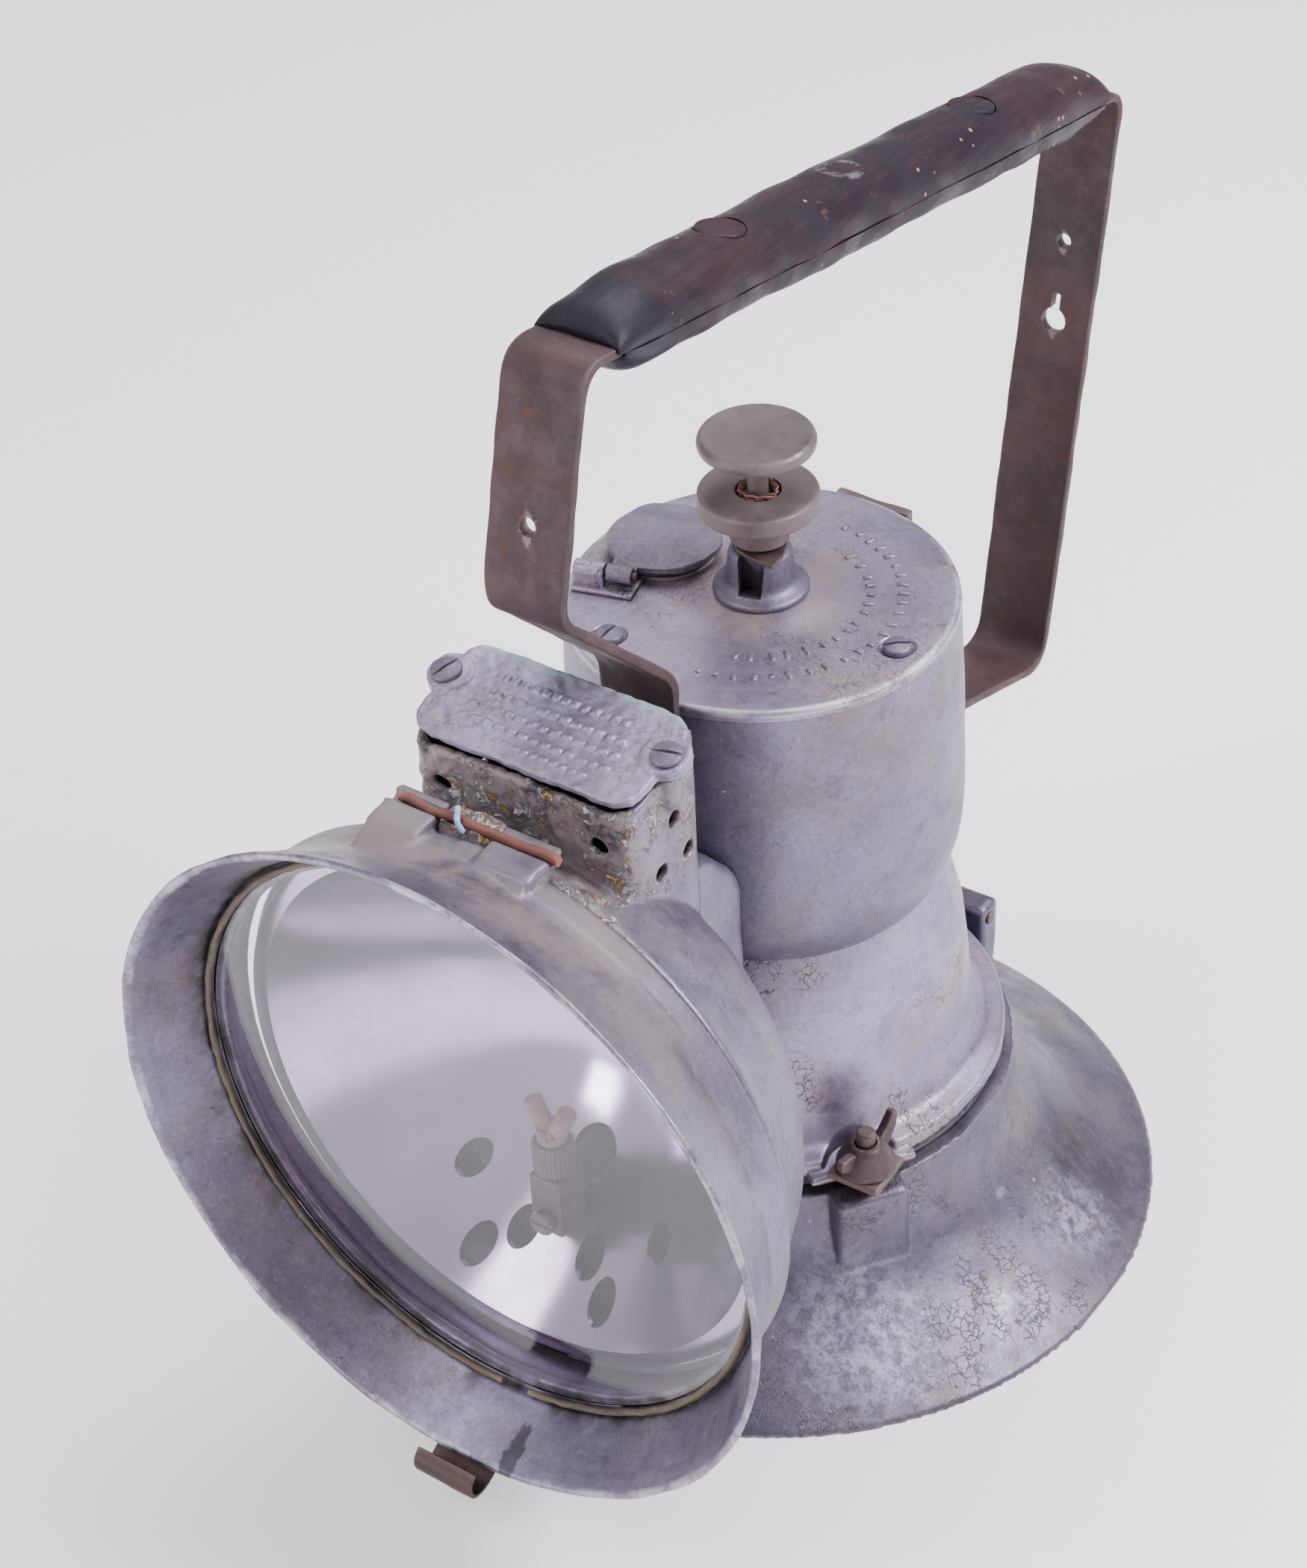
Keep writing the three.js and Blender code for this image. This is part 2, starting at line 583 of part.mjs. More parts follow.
// One half of the grip, lofted along the strap from rounded sections that shrink at both ends.
function gripHalf(start, end, height, upper) {
  const steps = 10;
  const arc = 8;
  const positions = [];
  const faces = [];
  const lift = STRAP_T / 2 + GAP;
  for (let i = 0; i <= steps; i += 1) {
    const t = i / steps;
    const along = start + (end - start) * t;
    const shrink = 0.34 + 0.66 * Math.min(1, Math.sin(Math.PI * t) * 2.3);
    for (let j = 0; j <= arc; j += 1) {
      const a = Math.PI * j / arc;
      const wide = (STRAP_W / 2 + 1.3) * (0.88 + 0.12 * shrink);
      const x = wide * Math.sign(Math.cos(a)) * Math.abs(Math.cos(a)) ** 0.75;
      const rise = height * shrink * Math.sin(a) ** 0.8;
      const [y, z] = gripLine(along, upper ? lift + rise : -lift - rise);
      positions.push(x, y, z);
    }
  }
  const ring = arc + 1;
  for (let i = 0; i < steps; i += 1) {
    for (let j = 0; j < ring; j += 1) {
      const k = (j + 1) % ring;
      faces.push(i * ring + j, i * ring + k, (i + 1) * ring + k);
      faces.push(i * ring + j, (i + 1) * ring + k, (i + 1) * ring + j);
    }
  }
  for (const [i, flip] of [[0, true], [steps, false]]) {
    for (let j = 1; j < arc; j += 1) {
      const [p, q, r] = [i * ring, i * ring + j, i * ring + j + 1];
      faces.push(...(flip ? [p, r, q] : [p, q, r]));
    }
  }
  const geometry = new THREE.BufferGeometry();
  geometry.setAttribute('position', new THREE.Float32BufferAttribute(positions, 3));
  geometry.setIndex(faces);
  let half = solid(geometry);
  for (const at of plugAlong) {
    const [y, z] = gripLine(at, 0);
    const hole = rodZ(upper ? 7.4 : 2.8, -30, 30, 0, 0);
    half = half.subtract(hole.rotate([GRIP_SLOPE, 0, 0]).translate([0, y, z]));
  }
  return half;
}

function gripPlug(along) {
  const top = 11.9;
  const plug = turned([
    [0, -6], [2.4, -6], [2.4, 2.2], [7, 2.2], [7, top], [6, top + 0.5], [0, top + 0.6],
  ], 20);
  const [y, z] = gripLine(along, 0);
  return plug.rotate([GRIP_SLOPE, 0, 0]).translate([0, y, z]);
}

// ---- assembly ----
add('base_shell', baseShell(), ALUMINIUM());
add('carbide_pot', carbidePot(), DARK_ALUMINIUM());
add('base_gasket', turned([[62.4, 58.1], [71, 58.1], [71, 60.3], [62.4, 60.3]]), SEALING());
add('generator_body', generatorBody(), ALUMINIUM());
add('rear_hinge_pin', rodX(2.2, -34, 34, HINGE_Y, HINGE_Z), STEEL());
for (const [side, label] of [[1, 'right'], [-1, 'left']]) {
  add(`clamp_stud_${label}`, clampStud(side), STEEL());
  add(`clamp_plate_${label}`, clampPlate(side), STEEL());
  add(`wing_nut_${label}`, wingNut(side), BRASS());
}
add('water_tank', waterTank(), ALUMINIUM());
add('tank_lid', tankLid(), ALUMINIUM());
screwAngles.forEach((angle, i) => add(`lid_screw_${i + 1}`, lidScrew(angle), DARK_ALUMINIUM()));
add('valve_boss', valveBoss(), DARK_ALUMINIUM());
add('gland_nut', glandNut(), BRASS());
add('valve_knob', valveKnob(), BRASS());
add('pointer_plate', pointerPlate(), STEEL());
add('water_tube', waterTube(), BRASS());
add('gas_filter', gasFilter(), SEALING());
add('filler_bracket', fillerBracket(), BRIGHT());
add('filler_flap', fillerFlap(), BRASS());
add('filler_seal', fillerSeal(), SEALING());
add('filler_pin', toFiller(rodX(1.2, -13.6, 6, 0, 0)), STEEL());
add('reflector_housing', reflectorHousing(), ALUMINIUM());
add('reflector_dish', reflectorDish(), BRIGHT());
add('door_bezel', doorBezel(), ALUMINIUM());
add('lens_glass', lensGlass(), GLASS());
add('lens_ring', lensRing(), RUST());
add('hinge_wire', hingeWire(), RUST());
add('chimney_cover', chimneyCover(), DARK_ALUMINIUM());
add('cover_screw_1', coverScrew(-1), DARK_ALUMINIUM());
add('cover_screw_2', coverScrew(1), DARK_ALUMINIUM());
add('gas_pipe', gasPipe(), BRASS());
add('burner_arm', burnerArm(), BRASS());
add('burner_body', burnerBody(), BRASS());
add('burner_tip', burnerTip(), CERAMIC());
add('arm_plug', armPlug(), BRASS());
add('latch_clip', latchClip(), COPPER());
add('latch_pin', rodX(1.6, -12, 14, -LATCH_AXIS.ahead, LATCH_AXIS.z), STEEL());
add('handle_strap', handleStrap(), STEEL());
rivets.forEach(([side, z], i) => add(`strap_rivet_${i + 1}`, strapRivet(side, z), STEEL()));
add('grip_upper', gripHalf(0, 262, 10.9, true), WOOD());
add('grip_lower', gripHalf(3, 258, 8.8, false), WOOD());
plugAlong.forEach((along, i) => add(`grip_plug_${i + 1}`, gripPlug(along), WOOD()));

export default lamp;
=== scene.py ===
"""Carbide hand lamp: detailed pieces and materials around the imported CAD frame.

Shapes are written in millimetres about the tank's axis, with "ahead" the distance in front of it,
and are moved into the row frame in metres as each mesh is made.
"""
import math
import random

import bmesh
import bpy
from mathutils import Matrix, Vector, noise


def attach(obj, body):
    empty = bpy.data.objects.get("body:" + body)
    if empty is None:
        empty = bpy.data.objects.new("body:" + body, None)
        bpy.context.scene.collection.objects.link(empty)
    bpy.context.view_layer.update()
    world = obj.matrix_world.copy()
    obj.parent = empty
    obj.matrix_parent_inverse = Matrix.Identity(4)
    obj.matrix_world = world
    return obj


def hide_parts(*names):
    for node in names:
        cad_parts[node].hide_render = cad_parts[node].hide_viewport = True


MM = 0.001
AXIS_Y = -3.698          # the tank's axis in the row frame
LAMP_Z = 130.0           # height of the reflector's axis
ROUND = 160              # sides of the large round pieces
SMALL = 48               # sides of the small ones
SEAM = 134.5             # ahead: joint between housing and door
CLAMP_R = 77.0           # from the tank's axis to a clamp's stud
CLAMP_ANGLE = 54.0       # from straight ahead to each clamp
PLATE_Z = 63.3           # underside of the clamp plates
GRIP_SLOPE = math.radians(-9.6)
GRIP_START = (-79.0, 350.3)  # y and z of the grip's front end, in the middle of the strap
STRAP_W = 25.4
STRAP_T = 3.0
STRAP_LENGTH = 270.0
PLUGS = (64.0, 196.0)    # along the grip
PIPE_Z = 81.5            # height of the gas pipe
CAST_COLOUR = (0.325, 0.276, 0.38)
BLUISH = (0.25, 0.24, 0.38)
DUST = (0.25, 0.195, 0.19)
BURNER_AHEAD = 115.0
LID_TOP = 225.7
TANK_TOP = 222.4
MOUND = 2.6              # rise of the lid towards the valve
EAR_TOP = 227.4          # flat top of the door's hinge ears
DOOR_AXIS = (-131.0, 227.2)  # y and z of the hinge wire
FILLER = (-36.0, 3.0)    # x and y of the filler's hole
LID_SCREW_R = 47.5
REAR_PIN = (77.5, 61.5)  # y and z
LATCH_AXIS = (-112.0, 39.0)
RIVETS = ((-1, 203), (-1, 214), (1, 168), (1, 196))  # front -1 or rear 1, and height
CHIMNEY_TOP = 236.4      # where the slope of the chimney's top starts, in front
COVER_Z = CHIMNEY_TOP + 2
DISH_CURVE = 0.0087      # depth of the dish per square of its radius
GRIP_STEPS = 96
GRIP_ARC = 28

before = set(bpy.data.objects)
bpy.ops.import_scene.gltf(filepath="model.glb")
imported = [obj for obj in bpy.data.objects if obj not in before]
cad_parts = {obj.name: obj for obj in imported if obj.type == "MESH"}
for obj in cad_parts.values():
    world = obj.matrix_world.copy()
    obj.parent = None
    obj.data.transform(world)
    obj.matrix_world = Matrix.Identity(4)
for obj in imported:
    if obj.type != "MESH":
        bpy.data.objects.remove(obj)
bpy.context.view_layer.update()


# ---------------------------------------------------------------- mesh tools
def link(name, mesh):
    obj = bpy.data.objects.new(name, mesh)
    bpy.context.scene.collection.objects.link(obj)
    return obj


def solid(name, points, faces):
    """A mesh object from points in millimetres about the tank's axis."""
    mesh = bpy.data.meshes.new(name)
    mesh.from_pydata([Vector((x, y + AXIS_Y, z)) * MM for x, y, z in points], [], faces)
    bm = bmesh.new()
    bm.from_mesh(mesh)
    bmesh.ops.remove_doubles(bm, verts=bm.verts, dist=2e-6)
    bmesh.ops.recalc_face_normals(bm, faces=bm.faces)
    bm.to_mesh(mesh)
    bm.free()
    return link(name, mesh)


def rounded(outline, steps=5, closed=True):
    """Points with a third value get a round corner that starts that far before the corner."""
    result = []
    count = len(outline)
    for i, entry in enumerate(outline):
        here = Vector(entry[:2])
        if len(entry) < 3 or (not closed and i in (0, count - 1)):
            result.append(tuple(here))
            continue
        back = Vector(outline[i - 1][:2]) - here
        on = Vector(outline[(i + 1) % count][:2]) - here
        reach_back = min(entry[2], back.length * 0.49)
        reach_on = min(entry[2], on.length * 0.49)
        start = here + back.normalized() * reach_back
        end = here + on.normalized() * reach_on
        for k in range(steps + 1):
            t = k / steps
            result.append(tuple(start * (1 - t) ** 2 + here * 2 * t * (1 - t) + end * t * t))
    return result


def flowing(points):
    """A smooth line through points."""
    steps = 6
    result = []
    for i in range(len(points) - 1):
        p1, p2 = Vector(points[i]), Vector(points[i + 1])
        p0 = Vector(points[i - 1]) if i else p1 * 2 - p2
        p3 = Vector(points[i + 2]) if i + 2 < len(points) else p2 * 2 - p1
        for k in range(steps):
            t = k / steps
            result.append(tuple(0.5 * (p1 * 2 + (p2 - p0) * t + (p0 * 2 - p1 * 5 + p2 * 4 - p3) * t * t
                                       + (p1 * 3 - p0 - p2 * 3 + p3) * t ** 3)))
    result.append(tuple(points[-1]))
    return result


def ring_faces(rows, columns):
    """Quads of a grid that closes on itself both ways."""
    return [(i * columns + j, i * columns + (j + 1) % columns,
             (i + 1) % rows * columns + (j + 1) % columns, (i + 1) % rows * columns + j)
            for i in range(rows) for j in range(columns)]


def open_tube_faces(rows, columns):
    """The same grid with its first and last rows closed by flat ends instead."""
    faces = ring_faces(rows, columns)[:(rows - 1) * columns]
    return faces + [tuple(range(columns)), tuple(range((rows - 1) * columns, rows * columns))]


def turned(name, outline, sides=ROUND, ahead=False, centre=(0.0, 0.0)):
    """A solid of revolution about Z, or about the reflector's axis."""
    outline = rounded(outline)
    points = []
    for i in range(sides):
        angle = 2 * math.pi * i / sides
        c, s = math.cos(angle), math.sin(angle)
        for r, h in outline:
            if ahead:
                points.append((r * s, -h, LAMP_Z + r * c))
            else:
                points.append((centre[0] + r * c, centre[1] + r * s, h))
    return solid(name, points, ring_faces(sides, len(outline)))


def prism(name, outline, low, high, axis="Z", bevel=0.0, steps=2):
    """An outline pulled along an axis, with rounded edges."""
    outline = rounded(outline)
    count = len(outline)
    order = {"X": lambda u, v, w: (w, u, v), "Y": lambda u, v, w: (u, w, v),
             "Z": lambda u, v, w: (u, v, w)}[axis]
    points = [order(u, v, w) for w in (low, high) for u, v in outline]
    faces = [tuple(range(count)), tuple(range(count, 2 * count))]
    faces += [(i, (i + 1) % count, count + (i + 1) % count, count + i) for i in range(count)]
    obj = solid(name, points, faces)
    if bevel:
        soften_edges(obj, bevel, steps)
    return obj


def soften_edges(obj, width, steps):
    """Bevels each edge that turns by more than 30 degrees."""
    bm = bmesh.new()
    bm.from_mesh(obj.data)
    edges = [e for e in bm.edges if len(e.link_faces) == 2
             and e.calc_face_angle(0) > math.radians(30)]
    bmesh.ops.bevel(bm, geom=edges, offset=width * MM, segments=steps, profile=0.5,
                    affect="EDGES", clamp_overlap=True)
    bmesh.ops.recalc_face_normals(bm, faces=bm.faces)
    bm.to_mesh(obj.data)
    bm.free()


def block(name, x, y, z, bevel=0.6, steps=2):
    corners = [(x[0], y[0]), (x[1], y[0]), (x[1], y[1]), (x[0], y[1])]
    return prism(name, corners, z[0], z[1], "Z", bevel, steps)


def bar(name, radius, start, end, sides=SMALL, bevel=0.0):
    """A round bar between two points."""
    start, end = Vector(start), Vector(end)
    turn = (end - start).to_track_quat("Z", "Y")
    length = (end - start).length
    outline = [(0, 0), (radius, 0, bevel), (radius, length, bevel), (0, length)]
    if not bevel:
        outline = [entry[:2] for entry in outline]
    line = rounded(outline)
    points = []
    for i in range(sides):
        angle = 2 * math.pi * i / sides
        points += [tuple(start + turn @ Vector((r * math.cos(angle), r * math.sin(angle), h)))
                   for r, h in line]
    return solid(name, points, ring_faces(sides, len(line)))


def settle(obj):
    """Bakes an object's modifiers into its mesh."""
    graph = bpy.context.evaluated_depsgraph_get()
    mesh = bpy.data.meshes.new_from_object(obj.evaluated_get(graph))
    obj.modifiers.clear()
    obj.data = mesh
    return obj


def combine(obj, others, operation):
    """Booleans each other object into obj, and removes it."""
    for other in others:
        modifier = obj.modifiers.new("combine", "BOOLEAN")
        modifier.operation = operation
        modifier.solver = "MANIFOLD"
        modifier.object = other
        settle(obj)
        bpy.data.objects.remove(other)
    return obj


def join(obj, *others):
    return combine(obj, others, "UNION")


def cut(obj, *others):
    return combine(obj, others, "DIFFERENCE")


def cast(obj, voxel, passes=3):
    """Turns joined shapes into one casting with soft fillets."""
    remesh = obj.modifiers.new("remesh", "REMESH")
    remesh.mode = "VOXEL"
    remesh.voxel_size = voxel * MM
    smooth = obj.modifiers.new("smooth", "SMOOTH")
    smooth.iterations = passes
    smooth.factor = 0.5
    return settle(obj)


def move(obj, matrix):
    obj.data.transform(matrix)
    return obj


def about(point, angle, axis):
    """A turn about an axis through a point in millimetres about the tank's axis."""
    centre = Vector((point[0], point[1] + AXIS_Y, point[2])) * MM
    return (Matrix.Translation(centre) @ Matrix.Rotation(math.radians(angle), 4, axis)
            @ Matrix.Translation(-centre))


def to_clamp(obj, side):
    return move(obj, about((0, 0, 0), side * CLAMP_ANGLE, "Z"))


def shake(obj, amount, size, inside=None):
    """Moves vertices along their normals by smooth noise, for dents and worn edges."""
    mesh = obj.data
    normals = [Vector(v.normal) for v in mesh.vertices]
    for vertex, normal in zip(mesh.vertices, normals):
        weight = inside(vertex.co) if inside else 1.0
        if weight:
            value = noise.noise(vertex.co / (size * MM))
            vertex.co += normal * value * amount * MM * weight
    return obj


def piece(obj, material, body, nodes=(), sharp=38, weighted=True):
    obj.data.materials.clear()
    obj.data.materials.append(material)
    obj.data.shade_smooth()
    if sharp:
        obj.data.set_sharp_from_angle(angle=math.radians(sharp))
        if weighted:
            even = obj.modifiers.new("even shading", "WEIGHTED_NORMAL")
            even.keep_sharp = True
    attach(obj, body)
    if nodes:
        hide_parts(*nodes)
    return obj


# ---------------------------------------------------------------- material tools
class Finish:
    """A small builder for one procedural material."""

    def __init__(self, name, roughness=0.5, metallic=0.0):
        self.material = bpy.data.materials.new(name)
        self.material.use_nodes = True
        self.tree = self.material.node_tree
        self.shader = self.tree.nodes["Principled BSDF"]
        self.set("Roughness", roughness)
        self.set("Metallic", metallic)
        self.position = self.node("ShaderNodeTexCoord", {}).outputs["Object"]
        self.normal = None

    def node(self, kind, inputs, **settings):
        """A node whose inputs are wired, or set when they are plain values."""
        node = self.tree.nodes.new(kind)
        for key, value in settings.items():
            setattr(node, key, value)
        for key, value in inputs.items():
            self.wire(value, node.inputs[key])
        return node

    def wire(self, source, target):
        if isinstance(source, (int, float, tuple)):
            target.default_value = source
        else:
            self.tree.links.new(source, target)

    def set(self, name, value):
        self.wire(value, self.shader.inputs[name])

    def stretched(self, scale, turn=(0, 0, 0)):
        rotation = tuple(math.radians(a) for a in turn)
        inputs = {"Vector": self.position, "Scale": scale, "Rotation": rotation}
        return self.node("ShaderNodeMapping", inputs).outputs["Vector"]

    def noise(self, scale, detail=5.0, roughness=0.6, distortion=0.0, position=None):
        inputs = {"Vector": position or self.position, "Scale": scale, "Detail": detail,
                  "Roughness": roughness, "Distortion": distortion}
        return self.node("ShaderNodeTexNoise", inputs).outputs["Fac"]

    def cells(self, scale, feature="F1", position=None):
        inputs = {"Vector": position or self.position, "Scale": scale}
        return self.node("ShaderNodeTexVoronoi", inputs, feature=feature).outputs["Distance"]

    def vector(self, operation, inputs):
        return self.node("ShaderNodeVectorMath", inputs, operation=operation)

    def warped(self, amount, scale):
        """The position, pushed about by noise."""
        node = self.node("ShaderNodeTexNoise", {"Vector": self.position, "Scale": scale, "Detail": 4})
        centred = self.vector("SUBTRACT", {0: node.outputs["Color"], 1: (0.5, 0.5, 0.5)})
        scaled = self.vector("SCALE", {0: centred.outputs[0], "Scale": amount})
        return self.vector("ADD", {0: self.position, 1: scaled.outputs[0]}).outputs[0]

    def distance(self, centre, axes):
        """How far the position is from a point in metres, along the axes that are not zero."""
        away = self.vector("SUBTRACT", {0: self.position, 1: centre})
        flat = self.vector("MULTIPLY", {0: away.outputs[0], 1: axes})
        return self.vector("LENGTH", {0: flat.outputs[0]}).outputs["Value"]

    def span(self, value, low, high, out_low=0.0, out_high=1.0):
        """A smooth step from low to high, between two output values."""
        inputs = {"Value": value, "From Min": low, "From Max": high, "To Min": out_low, "To Max": out_high}
        return self.node("ShaderNodeMapRange", inputs, interpolation_type="SMOOTHSTEP").outputs["Result"]

    def math(self, operation, a, b):
        return self.node("ShaderNodeMath", {0: a, 1: b}, operation=operation).outputs[0]

    def times(self, value, *factors):
        for factor in factors:
            value = self.math("MULTIPLY", value, factor)
        return value

    def less(self, value, amount):
        """A value lowered where the amount is high."""
        return self.times(value, self.math("SUBTRACT", 1.0, amount))

    def mix(self, amount, a, b):
        """The first colour where the amount is 0, the second where it is 1."""
        first, second = ((*c, 1.0) if isinstance(c, tuple) else c for c in (a, b))
        return self.node("ShaderNodeMix", {0: amount, 6: first, 7: second}, data_type="RGBA").outputs[2]

    def height(self, axis):
        return self.node("ShaderNodeSeparateXYZ", {0: self.position}).outputs[axis]

    def creases(self, *steps):
        """A span of how far the surface sticks out (above 0.5) or folds in (below it)."""
        return self.span(self.node("ShaderNodeNewGeometry", {}).outputs["Pointiness"], *steps)

    def bump(self, value, distance, strength=1.0):
        inputs = {"Height": value, "Distance": distance * MM, "Strength": strength}
        if self.normal is not None:
            inputs["Normal"] = self.normal
        self.normal = self.node("ShaderNodeBump", inputs).outputs["Normal"]
        self.set("Normal", self.normal)


def shade(colour, amount):
    return tuple(c * amount for c in colour)


def hairlines(f, amount):
    """Short fine cracks in a few places."""
    edge = f.cells(360, "DISTANCE_TO_EDGE", f.warped(0.008, 160))
    area = f.times(f.span(f.noise(26, 3, 0.5), 0.52, 0.6), f.span(f.noise(130, 2), 0.42, 0.54))
    return f.times(f.span(edge, 0.07, 0.0), area, amount)


def scratches(f):
    along = f.noise(1, 2, 0.6, 0.0, f.stretched((1500, 45, 1100), (20, 35, 10)))
    across = f.noise(1, 2, 0.6, 0.0, f.stretched((50, 1300, 1500), (0, 15, 40)))
    return f.math("MAXIMUM", f.span(along, 0.70, 0.78), f.span(across, 0.70, 0.78))


def aged_aluminium(name, tone=1.0, rough=(0.34, 0.5), cracks=0.5, grime=0.5, zones=()):
    """Stained, scratched and cracked casting. Zones add salt, verdigris, painted highlights with a stain,
    or a bright rim.
    """
    light, dark, pale, deep = (shade(CAST_COLOUR, tone * k) for k in (1.0, 0.72, 1.45, 0.4))
    f = Finish(name)
    broad = f.noise(11, 5, 0.6, 0.6)
    patch = f.noise(42, 8, 0.7, 0.5)
    fine = f.noise(620, 6, 0.75)
    grain = f.noise(170, 8, 0.8)
    colour = f.mix(f.span(broad, 0.38, 0.64), dark, light)
    colour = f.mix(f.span(patch, 0.5, 0.68, 0.0, 0.5), colour, deep)
    colour = f.mix(f.span(f.noise(19, 4, 0.6), 0.48, 0.66, 0.0, 0.5), colour, shade(BLUISH, tone))
    dust = f.span(f.noise(27, 6, 0.68, 0.3), 0.44, 0.66, 0.0, grime)
    colour = f.mix(dust, colour, shade(DUST, tone))
    colour = f.mix(f.span(grain, 0.55, 0.75, 0.0, 0.4), colour, pale)
    colour = f.mix(f.span(grain, 0.46, 0.28, 0.0, 0.75), colour, deep)
    colour = f.mix(f.span(fine, 0.53, 0.70, 0.0, 0.45), colour, pale)
    colour = f.mix(f.span(fine, 0.47, 0.32, 0.0, 0.5), colour, deep)
    line = hairlines(f, cracks)
    colour = f.mix(line, colour, (0.035, 0.028, 0.03))
    colour = f.mix(f.times(scratches(f), 0.5), colour, pale)
    pits = f.noise(260, 5, 0.78)
    colour = f.mix(f.span(pits, 0.62, 0.72, 0.0, 0.8), colour, (0.06, 0.045, 0.045))
    specks = f.span(f.noise(300, 4, 0.65, 0.5), 0.68, 0.72)
    specks = f.times(specks, f.span(f.noise(60, 2), 0.5, 0.6), 0.8)
    colour = f.mix(specks, colour, (0.60, 0.54, 0.50))
    # painted shade: dark brown in creases and hollows, where shade falls
    colour = f.mix(f.creases(0.488, 0.44, 0.0, 0.75), colour, (0.05, 0.038, 0.036))
    uneven = f.math("ADD", f.times(patch, 0.5), f.times(grain, 0.5))
    roughness = f.span(uneven, 0.4, 0.6, *rough)
    metal = f.math("SUBTRACT", 0.85, f.times(dust, 0.7))
    for zone in zones:
        colour, metal = zone(f, colour, metal)
    f.bump(grain, 0.16, 0.5)
    f.bump(fine, 0.06, 0.5)
    f.bump(pits, 0.2, 0.5)
    f.bump(line, -0.12)
    f.set("Base Color", colour)
    f.set("Roughness", roughness)
    f.set("Metallic", metal)
    return f.material


def salt_zone(f, colour, metal):
    """Dust, white and yellow salt, and soot round the vents, on the chimney's front wall."""
    front = f.times(f.span(f.height("Y"), -0.1165, -0.1195), f.span(f.height("Z"), 0.206, 0.214),
                    f.span(f.height("Y"), -0.150, -0.144))
    side = f.times(f.span(f.height("X"), 0.0325, 0.0345), f.span(f.height("Z"), 0.190, 0.226),
                   f.span(f.noise(60, 6, 0.7), 0.42, 0.6, 0.0, 0.6))
    place = f.math("MAXIMUM", front, side)
    dusty = f.times(place, f.span(f.noise(90, 7, 0.75), 0.3, 0.6, 0.55, 0.95))
    colour = f.mix(dusty, colour, (0.27, 0.215, 0.215))
    high = f.span(f.height("Z"), 0.216, 0.230)
    soot = f.times(f.span(f.noise(75, 6, 0.7), 0.50, 0.60), front, high, 0.9)
    colour = f.mix(soot, colour, (0.055, 0.047, 0.05))
    salt = f.times(f.span(f.noise(210, 9, 0.8, 0.6), 0.50, 0.56), place,
                   f.span(f.noise(70, 4, 0.6), 0.42, 0.50))
    tint = f.mix(f.span(f.noise(170, 3), 0.50, 0.57), (0.62, 0.60, 0.64), (0.50, 0.31, 0.12))
    colour = f.mix(salt, colour, tint)
    f.bump(salt, 0.6)
    return colour, f.less(metal, f.math("MAXIMUM", salt, dusty))


def verdigris_zone(f, colour, metal):
    """Pale green along the cover's rear edge."""
    place = f.times(f.span(f.height("Y"), -0.094, -0.0885), f.span(f.height("Z"), 0.245, 0.2465))
    green = f.times(place, f.span(f.noise(120, 6, 0.7), 0.42, 0.55))
    return f.mix(green, colour, (0.24, 0.40, 0.38)), f.less(metal, green)


def base_highlight_and_stain_zone(f, colour, metal):
    """Painted highlights as pale speckled patches where the base catches the light, and a dark stain."""
    spots = (((0.0723, -0.070, 0.016), 0.036, 0.75), ((0.101, 0.0125, 0.014), 0.019, 0.9),
             ((0.0845, -0.0055, 0.029), 0.003, 1.0), ((0.0996, -0.03, 0.013), 0.006, 0.7))
    # painted highlights: pale speckled patches on the base where it catches the light
    for centre, size, strength in spots:
        near = f.span(f.distance(centre, (1, 1, 1)), size, size * 0.3)
        painted_highlight = f.times(near, f.span(f.noise(210, 8, 0.82), 0.42, 0.60, 0.0, strength))
        colour = f.mix(painted_highlight, colour, (0.42, 0.385, 0.50))
    stain = f.span(f.distance((0.088, 0.031, 0.019), (1, 1, 1)), 0.02, 0.004)
    stain = f.times(stain, f.span(f.noise(90, 6, 0.7), 0.42, 0.6, 0.0, 0.7))
    return f.mix(stain, colour, (0.08, 0.06, 0.065)), metal


def lid_rim_zone(f, colour, metal):
    """The lid's edge is rubbed bright, and brown dust lies round the valve."""
    radius = f.distance((0.0, AXIS_Y * MM, 0.0), (1, 1, 0))
    rim = f.times(f.span(radius, 0.0555, 0.0566), f.span(f.height("Z"), 0.2235, 0.2245))
    rim = f.times(rim, f.span(f.noise(70, 5), 0.38, 0.52))
    colour = f.mix(f.times(rim, 0.8), colour, (0.58, 0.54, 0.62))
    near = f.times(f.span(radius, 0.036, 0.012), f.span(f.height("Z"), 0.224, 0.2252))
    near = f.times(near, f.span(f.noise(55, 6, 0.7), 0.4, 0.6, 0.3, 1.0))
    colour = f.mix(f.times(near, 0.75), colour, (0.25, 0.19, 0.175))
    return colour, f.less(metal, f.times(near, 0.6))


